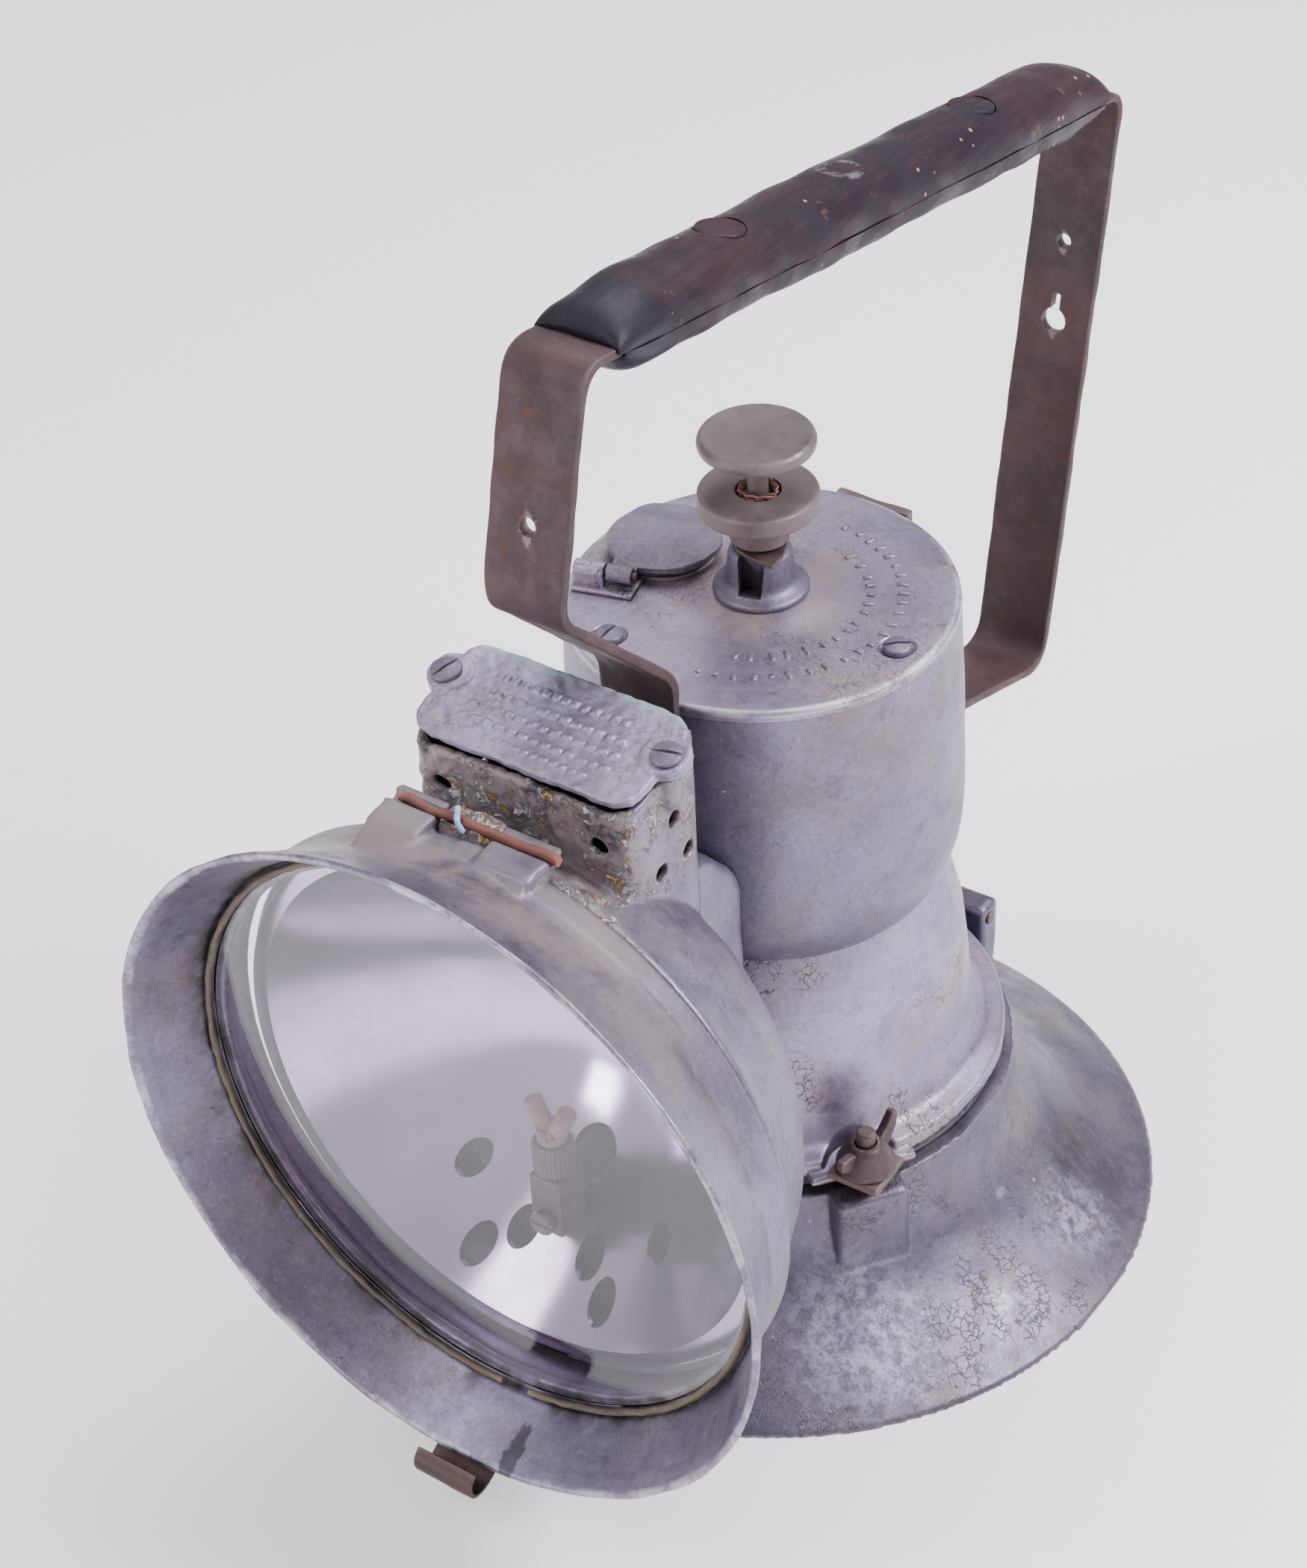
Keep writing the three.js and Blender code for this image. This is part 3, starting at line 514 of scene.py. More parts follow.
def hood_rim_zone(f, colour, metal):
    """The hood's lip is rubbed bright, dirt lies by the glass and dust by the hinge."""
    painted_highlight = f.span(f.noise(75, 6, 0.7), 0.44, 0.60, 0.0, 0.6)
    lip = f.times(f.span(f.height("Y"), -0.1748, -0.1758), painted_highlight)
    colour = f.mix(lip, colour, (0.58, 0.54, 0.62))
    radius = f.distance((0.0, 0.0, LAMP_Z * MM), (1, 0, 1))
    dirt = f.times(f.span(radius, 0.1, 0.0955), f.span(f.height("Y"), -0.150, -0.153))
    colour = f.mix(f.times(dirt, f.span(f.noise(80, 5), 0.4, 0.6)), colour, (0.07, 0.06, 0.05))
    chip = f.math("ADD", f.distance((0.0175, 0.0, 0.0265), (1, 0, 0.55)),
                  f.times(f.noise(260, 5, 0.7), 0.006))
    colour = f.mix(f.span(chip, 0.0064, 0.0054, 0.0, 0.85), colour, (0.055, 0.045, 0.06))
    dust = f.times(f.span(f.height("Z"), 0.185, 0.222), f.span(f.height("Y"), -0.172, -0.158))
    dust = f.times(dust, f.span(f.noise(55, 7, 0.72), 0.34, 0.56, 0.25, 0.9))
    colour = f.mix(dust, colour, (0.225, 0.185, 0.19))
    return colour, f.less(metal, f.times(dust, 0.8))


def rusty_paint(name):
    f = Finish(name, metallic=0.3)
    broad = f.noise(22, 6, 0.65, 0.3)
    patch = f.noise(95, 8, 0.76)
    fine = f.noise(620, 6, 0.75)
    colour = f.mix(f.span(broad, 0.35, 0.65), (0.085, 0.046, 0.048), (0.046, 0.031, 0.036))
    colour = f.mix(f.span(patch, 0.54, 0.68, 0.0, 0.6), colour, (0.125, 0.052, 0.034))
    colour = f.mix(f.span(fine, 0.60, 0.72, 0.0, 0.6), colour, (0.22, 0.105, 0.06))
    colour = f.mix(f.span(fine, 0.38, 0.26, 0.0, 0.8), colour, (0.014, 0.010, 0.012))
    colour = f.mix(f.creases(0.52, 0.6), colour, (0.20, 0.14, 0.14))
    f.set("Base Color", colour)
    f.set("Roughness", f.span(patch, 0.35, 0.65, 0.45, 0.7))
    f.set("Specular IOR Level", 0.35)
    f.bump(fine, 0.12, 0.6)
    f.bump(patch, 0.3, 0.45)
    return f.material


def old_wood(name):
    f = Finish(name)
    grain = f.noise(1, 6, 0.65, 0.5, f.stretched((420, 22, 420), (9.6, 0, 0)))
    broad = f.noise(28, 5, 0.6)
    fine = f.noise(500, 4, 0.7)
    colour = f.mix(f.span(broad, 0.4, 0.6), (0.031, 0.013, 0.020), (0.017, 0.010, 0.017))
    colour = f.mix(f.span(grain, 0.52, 0.68, 0.0, 0.5), colour, (0.050, 0.022, 0.024))
    colour = f.mix(f.span(grain, 0.45, 0.34, 0.0, 0.6), colour, (0.009, 0.005, 0.008))
    scuff = f.times(f.span(f.noise(75, 6, 0.72), 0.6, 0.68), f.span(f.noise(22, 2), 0.46, 0.56))
    colour = f.mix(f.times(scuff, 0.6), colour, (0.10, 0.06, 0.052))
    speck = f.times(f.span(f.cells(210), 0.17, 0.09), f.span(f.noise(55, 2), 0.54, 0.62))
    colour = f.mix(speck, colour, (0.40, 0.29, 0.20))
    # a worn ring on the crown of the grip, and a black front end
    ring = f.distance((0.0, 0.041, 0.342), (1, 1, 0.6))
    mark = f.times(f.span(ring, 0.0035, 0.0048), f.span(ring, 0.0074, 0.006))
    mark = f.times(mark, f.span(f.noise(260, 6, 0.75), 0.44, 0.58))
    colour = f.mix(f.times(mark, 0.65), colour, (0.20, 0.17, 0.19))
    front = f.span(f.height("Y"), -0.058, -0.064)
    colour = f.mix(f.times(front, 0.75), colour, (0.013, 0.013, 0.021))
    f.set("Base Color", colour)
    f.set("Roughness", f.span(f.noise(60, 5), 0.35, 0.65, 0.34, 0.6))
    f.set("Specular IOR Level", 0.2)
    f.bump(grain, 0.4, 0.6)
    f.bump(fine, 0.06, 0.5)
    return f.material


def dull_metal(name, light, dark, stain, metallic=0.8, rough=(0.42, 0.66)):
    f = Finish(name, metallic=metallic)
    broad = f.noise(60, 6, 0.65)
    fine = f.noise(700, 6, 0.7)
    colour = f.mix(f.span(broad, 0.35, 0.65), dark, light)
    colour = f.mix(f.span(f.noise(190, 7, 0.7), 0.54, 0.68, 0.0, 0.8), colour, stain)
    colour = f.mix(f.span(fine, 0.4, 0.28, 0.0, 0.6), colour, shade(dark, 0.35))
    colour = f.mix(f.creases(0.52, 0.6), colour, shade(light, 1.6))
    f.set("Base Color", colour)
    f.set("Roughness", f.span(broad, 0.35, 0.65, *rough))
    f.bump(fine, 0.1, 0.6)
    return f.material


def mirror_metal(name):
    f = Finish(name, metallic=1.0)
    haze = f.noise(30, 6, 0.65)
    spots = f.noise(330, 7, 0.8, 1.2)
    colour = f.mix(f.span(haze, 0.35, 0.7), (0.64, 0.545, 0.68), (0.52, 0.44, 0.56))
    colour = f.mix(f.span(spots, 0.66, 0.74, 0.0, 0.5), colour, (0.25, 0.20, 0.24))
    f.set("Base Color", colour)
    f.set("Roughness", f.span(haze, 0.35, 0.7, 0.14, 0.22))
    return f.material


def lens(name):
    f = Finish(name, roughness=0.03)
    f.set("Base Color", (0.97, 0.93, 0.98, 1))
    f.set("IOR", 1.5)
    f.set("Transmission Weight", 1.0)
    f.set("Roughness", f.span(f.noise(40, 6, 0.7), 0.45, 0.7, 0.0, 0.03))
    return f.material


def soft_material(name, light, dark, stain):
    f = Finish(name, roughness=0.9)
    colour = f.mix(f.span(f.noise(120, 7, 0.7), 0.4, 0.6), dark, light)
    colour = f.mix(f.span(f.noise(420, 4, 0.7), 0.56, 0.66), colour, stain)
    f.set("Base Color", colour)
    f.bump(f.noise(500, 6, 0.75), 0.25)
    return f.material


# Each piece's tone of the one casting is partly its own patina and partly painted light and shade, standing
# in for how the light falls on it: the generator, lid and cover lighter, the tank, hood, housing and base
# darker.
ALUMINIUM = aged_aluminium("cast aluminium", 1.2, cracks=0.8, grime=0.6)
BASE_METAL = aged_aluminium("base aluminium", 0.56, cracks=0.6, zones=(base_highlight_and_stain_zone,))
TANK_METAL = aged_aluminium("tank aluminium", 0.76, cracks=0.12, grime=0.6)
LID_METAL = aged_aluminium("lid aluminium", 1.15, grime=0.8, zones=(lid_rim_zone,))
HOOD_METAL = aged_aluminium("hood aluminium", 0.82, cracks=0.15, zones=(hood_rim_zone,))
HOUSING_METAL = aged_aluminium("housing aluminium", 0.84, cracks=0.3, zones=(salt_zone,))
COVER_METAL = aged_aluminium("cover metal", 1.4, (0.5, 0.7), 0.4, 0.5, (verdigris_zone,))
DARK_ALUMINIUM = aged_aluminium("dark aluminium", 0.74, (0.45, 0.65), 0.3, 0.7)
MIRROR = mirror_metal("reflector metal")
BRASS = dull_metal("tarnished brass", (0.205, 0.165, 0.168), (0.145, 0.115, 0.12), (0.16, 0.12, 0.10), 0.5)
NUT_METAL = dull_metal("wing nut bronze", (0.12, 0.085, 0.085), (0.065, 0.045, 0.05),
                       (0.17, 0.10, 0.065), 0.5)
COPPER = dull_metal("tarnished copper", (0.10, 0.066, 0.058), (0.055, 0.040, 0.040), (0.22, 0.10, 0.055))
STEEL = dull_metal("rusted steel", (0.17, 0.12, 0.11), (0.075, 0.055, 0.055), (0.22, 0.09, 0.045), 0.6)
RUST = dull_metal("rusty wire", (0.22, 0.085, 0.065), (0.13, 0.055, 0.045), (0.26, 0.15, 0.10), 0.2,
                  (0.6, 0.85))
BLUE_CORD = soft_material("pale blue tie", (0.40, 0.60, 0.88), (0.26, 0.42, 0.70), (0.62, 0.74, 0.90))
WIRE = dull_metal("crusted wire", (0.17, 0.13, 0.09), (0.07, 0.06, 0.05), (0.10, 0.16, 0.13), 0.4,
                  (0.6, 0.85))
STRAP = rusty_paint("strap enamel")
WOOD = old_wood("grip wood")
LENS = lens("lens glass")
SEALING = soft_material("old gasket", (0.09, 0.08, 0.07), (0.03, 0.027, 0.025), (0.12, 0.17, 0.15))
CERAMIC = soft_material("burner steatite", (0.50, 0.34, 0.30), (0.34, 0.22, 0.20), (0.16, 0.11, 0.11))


# ---------------------------------------------------------------- base and generator
def ramp(value, width):
    return min(1.0, max(0.0, value / width))


def above_floor(p):
    return ramp(p.z - 0.002, 0.004)


def base_shell():
    outside = flowing([(121.4, 1.4), (112, 7), (95, 18.4), (83, 31), (77.6, 44), (76, 54)])
    inside = [(64.6, 56), (64.6, 53.4), (73.6, 53.4), (75, 43), (80.4, 29.6), (93, 16.2), (110, 5.2),
              (117, 0)]
    base = turned("base_shell_visual", [(122, 0)] + outside + [(76, 56)] + inside)
    for side in (-1, 1):
        lug = block("lug", (-11.4, 11.4), (-84, -74.2), (20, 58), 1.6, 3)
        join(base, to_clamp(lug, side))
        cut(base, to_clamp(bar("hole", 3.3, (0, -CLAMP_R, 36), (0, -CLAMP_R, 62)), side))
    for x in (-25, 25):
        join(base, block("rear_lug", (x - 8, x + 8), (73.6, 83), (30, 66), 1.4, 3))
    cut(base, turned("hollow", [(0, -1), (116, -1), (110, 5.1), (93, 16.1), (80.3, 29.5), (74.9, 42.9),
                                (73.5, 53.3), (0, 53.3)], 96))
    cast(base, 1.0, 3)
    shake(base, 0.3, 14, above_floor)
    shake(base, 0.9, 34, above_floor)
    return piece(base, BASE_METAL, "frame", ["base_shell"], sharp=None)


def generator():
    outline = [(72.6, 60.6), (72.6, 65.8, 1.2), (66.4, 66.8, 2), (63.6, 71, 2.5), (61.8, 76)]
    outline += flowing([(61.4, 80), (60.8, 94), (58.8, 110), (55.2, 123), (52.6, 131)])
    outline += [(49.8, 131), (53, 121.6), (56.4, 109), (58.5, 93.6), (59.6, 76), (61, 60.6)]
    body = turned("generator_visual", outline)
    for side in (-1, 1):
        tab = block("tab", (-17, 17), (-75.4, -66), (60.6, 63), 0.6)
        join(body, to_clamp(tab, side))
        cut(body, to_clamp(bar("room", 13, (0, -CLAMP_R, 63.05), (0, -CLAMP_R, 80)), side))
        cut(body, to_clamp(bar("slot", 3.9, (0, -CLAMP_R, 50), (0, -CLAMP_R, 70)), side))
    join(body, block("cheek", (-16.5, 16.5), (64, 83), (57.2, 66), 1.0))
    cut(body, block("cheek_room", (-40, 40), (50, 76.8), (50, 60.6), 0))
    cut(body, bar("pin_hole", 2.5, (-40, *REAR_PIN), (40, *REAR_PIN)))
    cut(body, bar("pipe_hole", 4.6, (0, -70, PIPE_Z), (0, -50, PIPE_Z)))
    cast(body, 0.75, 2)
    shake(body, 0.3, 12)
    shake(body, 0.6, 30, lambda p: ramp(0.1 - p.z, 0.02))
    piece(body, ALUMINIUM, "frame", ["generator_body"], sharp=None)
    # the neck's outer skin runs up to the tank with no groove
    skin = flowing([(59.3, 107), (58.9, 110), (55.4, 123), (52.7, 131)])
    neck = turned("neck_visual", skin + [(51, 131), (54, 121.6), (57, 109)])
    piece(neck, ALUMINIUM, "frame", ())
    pot = [(0, 8), (60, 8, 1), (62, 10, 1), (62, 56.3), (71, 56.3), (71, 57.8), (60.4, 57.8), (60.4, 9.6),
           (0, 9.6)]
    piece(turned("carbide_pot_visual", pot), DARK_ALUMINIUM, "frame", ["carbide_pot"])
    gasket = turned("gasket_visual", [
        (62.4, 58.1, 0.5), (71.4, 58.1, 0.5), (71.4, 60.3, 0.5), (62.4, 60.3, 0.5),
    ])
    shake(gasket, 0.5, 5)
    piece(gasket, SEALING, "frame", ["base_gasket"])
    pin = bar("rear_pin_visual", 2.2, (-34, *REAR_PIN), (34, *REAR_PIN), 32, 0.6)
    piece(pin, STEEL, "frame", ["rear_hinge_pin"])


def clamps():
    for side, label in ((1, "right"), (-1, "left")):
        outline = [(0, 38.4), (3.15, 38.4)]
        for k in range(22):
            outline += [(3.15, 39 + k * 1.8), (2.85, 39.9 + k * 1.8)]
        outline += [(3.0, 78.9), (2.4, 79.8, 0.3), (0, 80)]
        stud = to_clamp(turned("stud_visual_" + label, outline, 32, centre=(0, -CLAMP_R)), side)
        piece(stud, STEEL, "frame", ["clamp_stud_" + label])
        plate = block("plate", (-8.5, 8.5), (-CLAMP_R - 8.5, -CLAMP_R + 8.5), (PLATE_Z, PLATE_Z + 2.7),
                      0.7, 3)
        cut(plate, bar("hole", 3.6, (0, -CLAMP_R, 60), (0, -CLAMP_R, 70)))
        move(plate, about((0, -CLAMP_R, 0), 38, "Z"))
        plate.name = "clamp_plate_visual_" + label
        shake(plate, 0.5, 6)
        piece(to_clamp(plate, side), STEEL, "plate_" + label, ["clamp_plate_" + label])
        z = PLATE_Z + 3.0
        nut = turned("wing_nut_visual_" + label, [
            (3.5, z), (9.2, z, 0.6), (9.2, z + 1.8, 0.8), (5.6, z + 8, 1.2), (4.8, z + 9, 0.5),
            (3.5, z + 9),
        ], SMALL, centre=(0, -CLAMP_R))
        wing = [(4.2, 3.4), (8, 2.4), (12, 9), (12.6, 14), (10.6, 15.2), (7.6, 11), (4.4, 7.6)]
        low_wing = [(4.2, 3.4), (8, 2.4), (11.4, 4.4), (11.4, 8), (7.6, 8.4), (4.4, 7.6)]
        for turn, outline in ((0, wing), (180, low_wing)):
            outline = [(u - CLAMP_R, z + v) for u, v in outline]
            blade = prism("wing", outline, -1.5, 1.5, "X", 0.8, 3)
            move(blade, about((0, -CLAMP_R, 0), turn, "Z"))
            join(nut, blade)
        cut(nut, bar("thread", 3.5, (0, -CLAMP_R, 60), (0, -CLAMP_R, 90)))
        move(nut, about((0, -CLAMP_R, 0), -66, "Z"))
        piece(to_clamp(nut, side), NUT_METAL, "nut_" + label, ["wing_nut_" + label])


# ---------------------------------------------------------------- tank, lid, valve, filler
def tank():
    outline = flowing([(52.7, 131), (55.4, 136), (58.2, 146), (59.2, 160), (58.8, 190), (57.9, TANK_TOP)])
    outline += [(55.8, TANK_TOP), (57, 160), (55.8, 146), (52.4, 136), (50, 133), (5, 133), (5, 131)]
    body = turned("tank_visual", outline, 192)
    shake(body, 0.5, 26, lambda p: ramp(p.z - 0.136, 0.01) if p.z < 0.215 else 0.0)
    piece(body, TANK_METAL, "frame", ["water_tank"])


def lid():
    cover = turned("lid_visual", [
        (6.5, TANK_TOP + 0.1), (57.9, TANK_TOP + 0.1), (57.8, LID_TOP, 1.7), (54, LID_TOP + 0.05, 1),
        (23, LID_TOP + 0.1, 4), (14.6, LID_TOP + MOUND, 4), (6.5, LID_TOP + MOUND),
    ], 192)
    cut(cover, bar("hole", 12.7, (*FILLER, 215), (*FILLER, 235)))
    join(cover, turned("seat", [(12.5, LID_TOP - 1), (15.4, LID_TOP - 1), (15.4, LID_TOP + 1.3, 0.5),
                                (12.5, LID_TOP + 1.3, 0.3)], SMALL, centre=FILLER))
    for index, angle in enumerate((87, -33, 207)):
        x = LID_SCREW_R * math.sin(math.radians(angle))
        y = -LID_SCREW_R * math.cos(math.radians(angle))
        cut(cover, turned("dimple", [
            (0, LID_TOP - 0.7), (5, LID_TOP - 0.7, 1), (6.4, LID_TOP + 1), (0, LID_TOP + 1),
        ], SMALL, centre=(x, y)))
        cut(cover, bar("hole", 2.5, (x, y, 215), (x, y, 235)))
        top = LID_TOP + 0.3
        screw = turned(f"lid_screw_visual_{index + 1}", [
            (0, 214), (2.2, 214), (2.2, top - 0.8), (4.4, top - 0.8, 0.3), (4.2, top + 0.9, 0.8),
            (0, top + 1.5),
        ], SMALL, centre=(x, y))
        slot = block("slot", (x - 6, x + 6), (y - 0.5, y + 0.5), (top + 0.5, top + 3), 0)
        cut(screw, move(slot, about((x, y, 0), 40 + 50 * index, "Z")))
        piece(screw, DARK_ALUMINIUM, "frame", [f"lid_screw_{index + 1}"])
    piece(cover, LID_METAL, "frame", ["tank_lid"])
    worn_ridges()


def worn_ridges():
    """Two arcs of short plain raised bars on the lid."""
    rng = random.Random(4)
    points, faces = [], []
    for radius, start, stop, step in ((41, 8, 178, 7.5), (31.5, 20, 160, 9.5)):
        angle = start
        while angle < stop:
            lean = rng.uniform(-14, 14)
            length = rng.uniform(2.4, 4.2)
            theta = math.radians(angle - 90)
            centre = Vector((radius * math.cos(theta), radius * math.sin(theta), LID_TOP))
            along = Vector((math.cos(theta + math.radians(lean)), math.sin(theta + math.radians(lean)), 0))
            across = Vector((-along.y, along.x, 0))
            first = len(points)
            for lift, size in ((-0.4, 1.0), (0.4, 0.9), (0.7, 0.6)):
                for u, v in ((-1, -1), (1, -1), (1, 1), (-1, 1)):
                    p = centre + along * u * length / 2 * size + across * v * 0.8 * size
                    points.append((p.x, p.y, LID_TOP + lift))
            faces.append(tuple(first + k for k in (3, 2, 1, 0)))
            faces.append(tuple(first + 8 + k for k in range(4)))
            for layer in (0, 4):
                for k in range(4):
                    a, b = first + layer + k, first + layer + (k + 1) % 4
                    faces.append((a, b, b + 4, a + 4))
            angle += step * rng.uniform(0.8, 1.2)
    ridges = solid("lid_ridges", points, faces)
    piece(ridges, LID_METAL, "frame", (), sharp=60)


def valve():
    z = LID_TOP + MOUND + 0.1
    boss = turned("boss_visual", [
        (3.6, z), (14.2, z, 0.6), (14, z + 1.4, 1), (10.4, z + 3.4, 2), (9.2, 241.6, 0.8), (8, 242.6, 0.5),
        (4.6, 242.6), (4.6, 255.6), (3.6, 255.6),
    ], SMALL)
    notch = prism("notch", [(-3.4, z + 3), (3.4, z + 3), (4.6, 250), (-4.6, 250)], -22, -5.2, "Y", 0)
    cut(boss, move(notch, about((0, 0, 0), 15, "Z")))
    piece(boss, DARK_ALUMINIUM, "frame", ["valve_boss"])
    gland = turned("gland_visual", [
        (5, 245), (8.8, 246, 0.5), (8.8, 253.6, 0.6), (17.6, 256, 0.9), (17.6, 261.4, 1.3),
        (16, 261.9, 0.5), (6.6, 261.8, 0.4), (6.6, 257), (5, 256),
    ], 96)
    piece(gland, BRASS, "gland", ["gland_nut"])
    knob = turned("knob_visual", [
        (0, 146), (3, 156), (3, 276.4), (16.8, 276.4, 0.6), (17.2, 278.6, 1.2), (16, 280.2, 0.8),
        (0, 280.5),
    ], 96)
    piece(knob, BRASS, "knob", ["valve_knob"])
    z = 243.1
    pointer = prism("pointer_visual", [(-6.6, -6, 1), (6.6, -6, 1), (7.6, 3, 1), (4, 9, 1), (-1, 14, 0.8),
                                       (-5, 9, 1), (-7.6, 3, 1)], z, z + 1.4, "Z", 0.3)
    cut(pointer, bar("hole", 4.9, (0, 0, 230), (0, 0, 250)))
    piece(move(pointer, about((0, 0, 0), -135, "Z")), STEEL, "frame", ["pointer_plate"])
    packing()


def packing():
    """Frayed copper packing in the gland's central hole."""
    rng = random.Random(11)
    for k in range(7):
        start = rng.uniform(0, 2 * math.pi)
        line = []
        for i in range(14):
            a = start + i * 0.32
            r = 5.0 + 0.7 * math.sin(i * 1.9 + k)
            line.append((r * math.cos(a), r * math.sin(a), 260.4 + 0.25 * k + 0.5 * math.sin(i * 1.3 + k)))
        wire = tube(f"packing_{k}", line, 0.36, 8)
        piece(wire, COPPER if k % 2 else RUST, "gland", ())


def tube(name, line, radius, sides):
    """A round wire along points, with flat ends."""
    line = [Vector(p) for p in line]
    count = len(line)
    points = []
    side = None
    for i, p in enumerate(line):
        along = (line[min(i + 1, count - 1)] - line[max(i - 1, 0)]).normalized()
        if side is None:
            side = along.orthogonal().normalized()
        side = (side - along * side.dot(along)).normalized()
        up = along.cross(side)
        for j in range(sides):
            a = 2 * math.pi * j / sides
            points.append(tuple(p + (side * math.cos(a) + up * math.sin(a)) * radius))
    return solid(name, points, open_tube_faces(count, sides))


def to_filler(obj):
    turn = Matrix.Rotation(math.radians(15), 4, "Z")
    place = Matrix.Translation(Vector((-37, -19.6, 231)) * MM)
    back = Matrix.Translation(Vector((0, -AXIS_Y, 0)) * MM)
    return move(obj, back.inverted() @ place @ turn @ back)


def filler():
    bracket = block("filler_bracket_visual", (-13, 6), (-5, 5), (-5, -3.6), 0.5)
    join(bracket, block("ear", (-13, -3.5), (-2.6, 2.6), (-4, 0), 0.3),
         bar("ear_round", 2.8, (-13, 0, 0), (-3.5, 0, 0), 32, 0.6))
    cut(bracket, bar("hole", 1.5, (-20, 0, 0), (20, 0, 0), 24))
    piece(to_filler(bracket), ALUMINIUM, "frame", ["filler_bracket"])
    rim = []
    for i in range(60):
        a = 2 * math.pi * i / 60
        r = 17.2 + 0.55 * noise.noise(Vector((math.cos(a) * 3, math.sin(a) * 3, 1.7)))
        rim.append((FILLER[0] + r * math.cos(a), FILLER[1] + r * math.sin(a)))
    flap = prism("filler_flap_visual", rim, 229.3, 231.6, "Z", 0.5, 3)
    knuckle = bar("knuckle", 2.6, (-3.1, 0, 0), (5, 0, 0), 32, 0.4)
    join(knuckle, block("leaf", (-3.1, 5), (0, 11), (-1.4, 0.4), 0.3))
    cut(knuckle, bar("hole", 1.5, (-20, 0, 0), (20, 0, 0), 24))
    join(flap, to_filler(knuckle))
    shake(flap, 0.8, 9, lambda p: 1.0 if p.z > 0.2305 else 0.25)
    piece(flap, DARK_ALUMINIUM, "filler", ["filler_flap"], sharp=50)
    seal = turned("filler_seal_visual", [(8, 227.4, 0.5), (15.2, 227.4, 0.5), (15.2, 229, 0.5), (8, 229)],
                  SMALL, centre=FILLER)
    shake(seal, 0.6, 4)
    piece(seal, SEALING, "filler", ["filler_seal"])
    pin = to_filler(bar("filler_pin_visual", 1.2, (-13.6, 0, 0), (6, 0, 0), 24, 0.4))
    piece(pin, STEEL, "frame", ["filler_pin"])


# ---------------------------------------------------------------- reflector housing and door
def rounded_rectangle(half, y0, y1, corner):
    return [(half, y0, corner), (half, y1, corner), (-half, y1, corner), (-half, y0, corner)]


def on_chimney(obj, height):
    """Places a shape drawn flat about the tank's axis on the sloping top of the chimney."""
    place = Matrix.Translation(Vector((0, -117.7 + AXIS_Y, height)) * MM)
    home = Matrix.Translation(Vector((0, -AXIS_Y, 0)) * MM)
    return move(obj, place @ Matrix.Rotation(math.radians(13), 4, "X") @ home)


def cover_cut():
    return on_chimney(block("above", (-60, 60), (-40, 60), (0, 60), 0), CHIMNEY_TOP)


def housing():
    outside = flowing([(0, 70), (28, 71.8), (50, 78.6), (68, 91), (82, 108), (88.6, 125), (91.6, 129.4)])
    bowl = [(0, 72.4), (27, 74.2), (48.4, 80.8), (66, 92.8), (79.6, 109.2), (86, 125.8), (89.8, 130.6)]
    edge = [(92.4, 131), (92.4, SEAM - 1.4), (89.8, SEAM - 1.4)]
    body = turned("housing_visual", outside + edge + bowl[::-1], ahead=True)
    outer_flue = prism("flue", rounded_rectangle(36, -118.5, -83, 7), 150, 270)
    saddle = prism("saddle", [
        (-100, 76), (-53, 76), (-53, 166, 3), (-57, 174, 3), (-68, 186, 3), (-84, 192), (-100, 192),
    ], -27, 27, "X", 3, 3)
    room = turned("room", [
        (0, 40), (62.8, 40), (62.8, 82), (60.4, 108), (57.4, 122), (56.4, 133), (59.2, 142), (60.2, 160),
        (60.2, 260), (0, 260),
    ], 96)
    join(body, outer_flue, cut(saddle, room))
    cavity = turned("cavity", bowl + [(89.8, SEAM + 1), (0, SEAM + 1)], ahead=True)
    cut(body, cavity, prism("shaft", rounded_rectangle(33.6, -116.1, -85.4, 4.6), 150, 270), cover_cut())
    for x in (-34.6, 34.6):
        boss = turned("boss", [(0, 224), (4.6, 232, 2), (4.6, 262), (0, 262)], SMALL, centre=(x, -98.6))
        join(body, cut(boss, cover_cut()))
    join(body, block("door_lug", (-15.6, 2), (-133.6, -125), (219, EAR_TOP), 0.8))
    foot = block("foot", (-6, 6), (-116, -107), (37, 50), 0.6)
    hollow = turned("cavity", [(0, 60), (79.6, 109.2), (86, 125.8), (0, 125.8)], 96, ahead=True)
    join(body, cut(foot, hollow))
    housing_holes(body)
    cast(body, 0.8, 2)
    shake(body, 0.35, 13, lambda p: 1.0 if p.y > -0.13 else 0.0)
    shake(body, 0.9, 5, chimney_front)
    shake(body, 0.5, 2.2, chimney_front)
    return piece(body, HOUSING_METAL, "frame", ["reflector_housing"], sharp=None)


def housing_holes(body):
    for y, z in ((-97, 223.5), (-91, 209), (-103.7, 209.5)):
        cut(body, bar("side_hole", 2.5, (-50, y, z), (50, y, z)))
    for x in (-26, 26):
        cut(body, bar("front_hole", 2.6, (x, -125, 224.5), (x, -110, 224.5)))
    cut(body, bar("hinge_groove", 1.8, (-60, *DOOR_AXIS), (60, *DOOR_AXIS)))
    cut(body, bar("latch_hole", 1.9, (-20, *LATCH_AXIS), (20, *LATCH_AXIS)))
    cut(body, bar("pipe_hole", 4.6, (0, -90, PIPE_Z), (0, -40, PIPE_Z)))
    cut(body, bar("arm_room", 5.9, (0, -92, PIPE_Z), (0, -77, PIPE_Z)))


def chimney_front(p):
    """How much of the salt crust is at a point: 1 on the chimney's front wall, 0 away from it."""
    ahead = -(p.y / MM - AXIS_Y)
    if ahead < 115 or abs(p.x) > 0.0345:
        return 0.0
    return ramp(p.z - 0.208, 0.006)


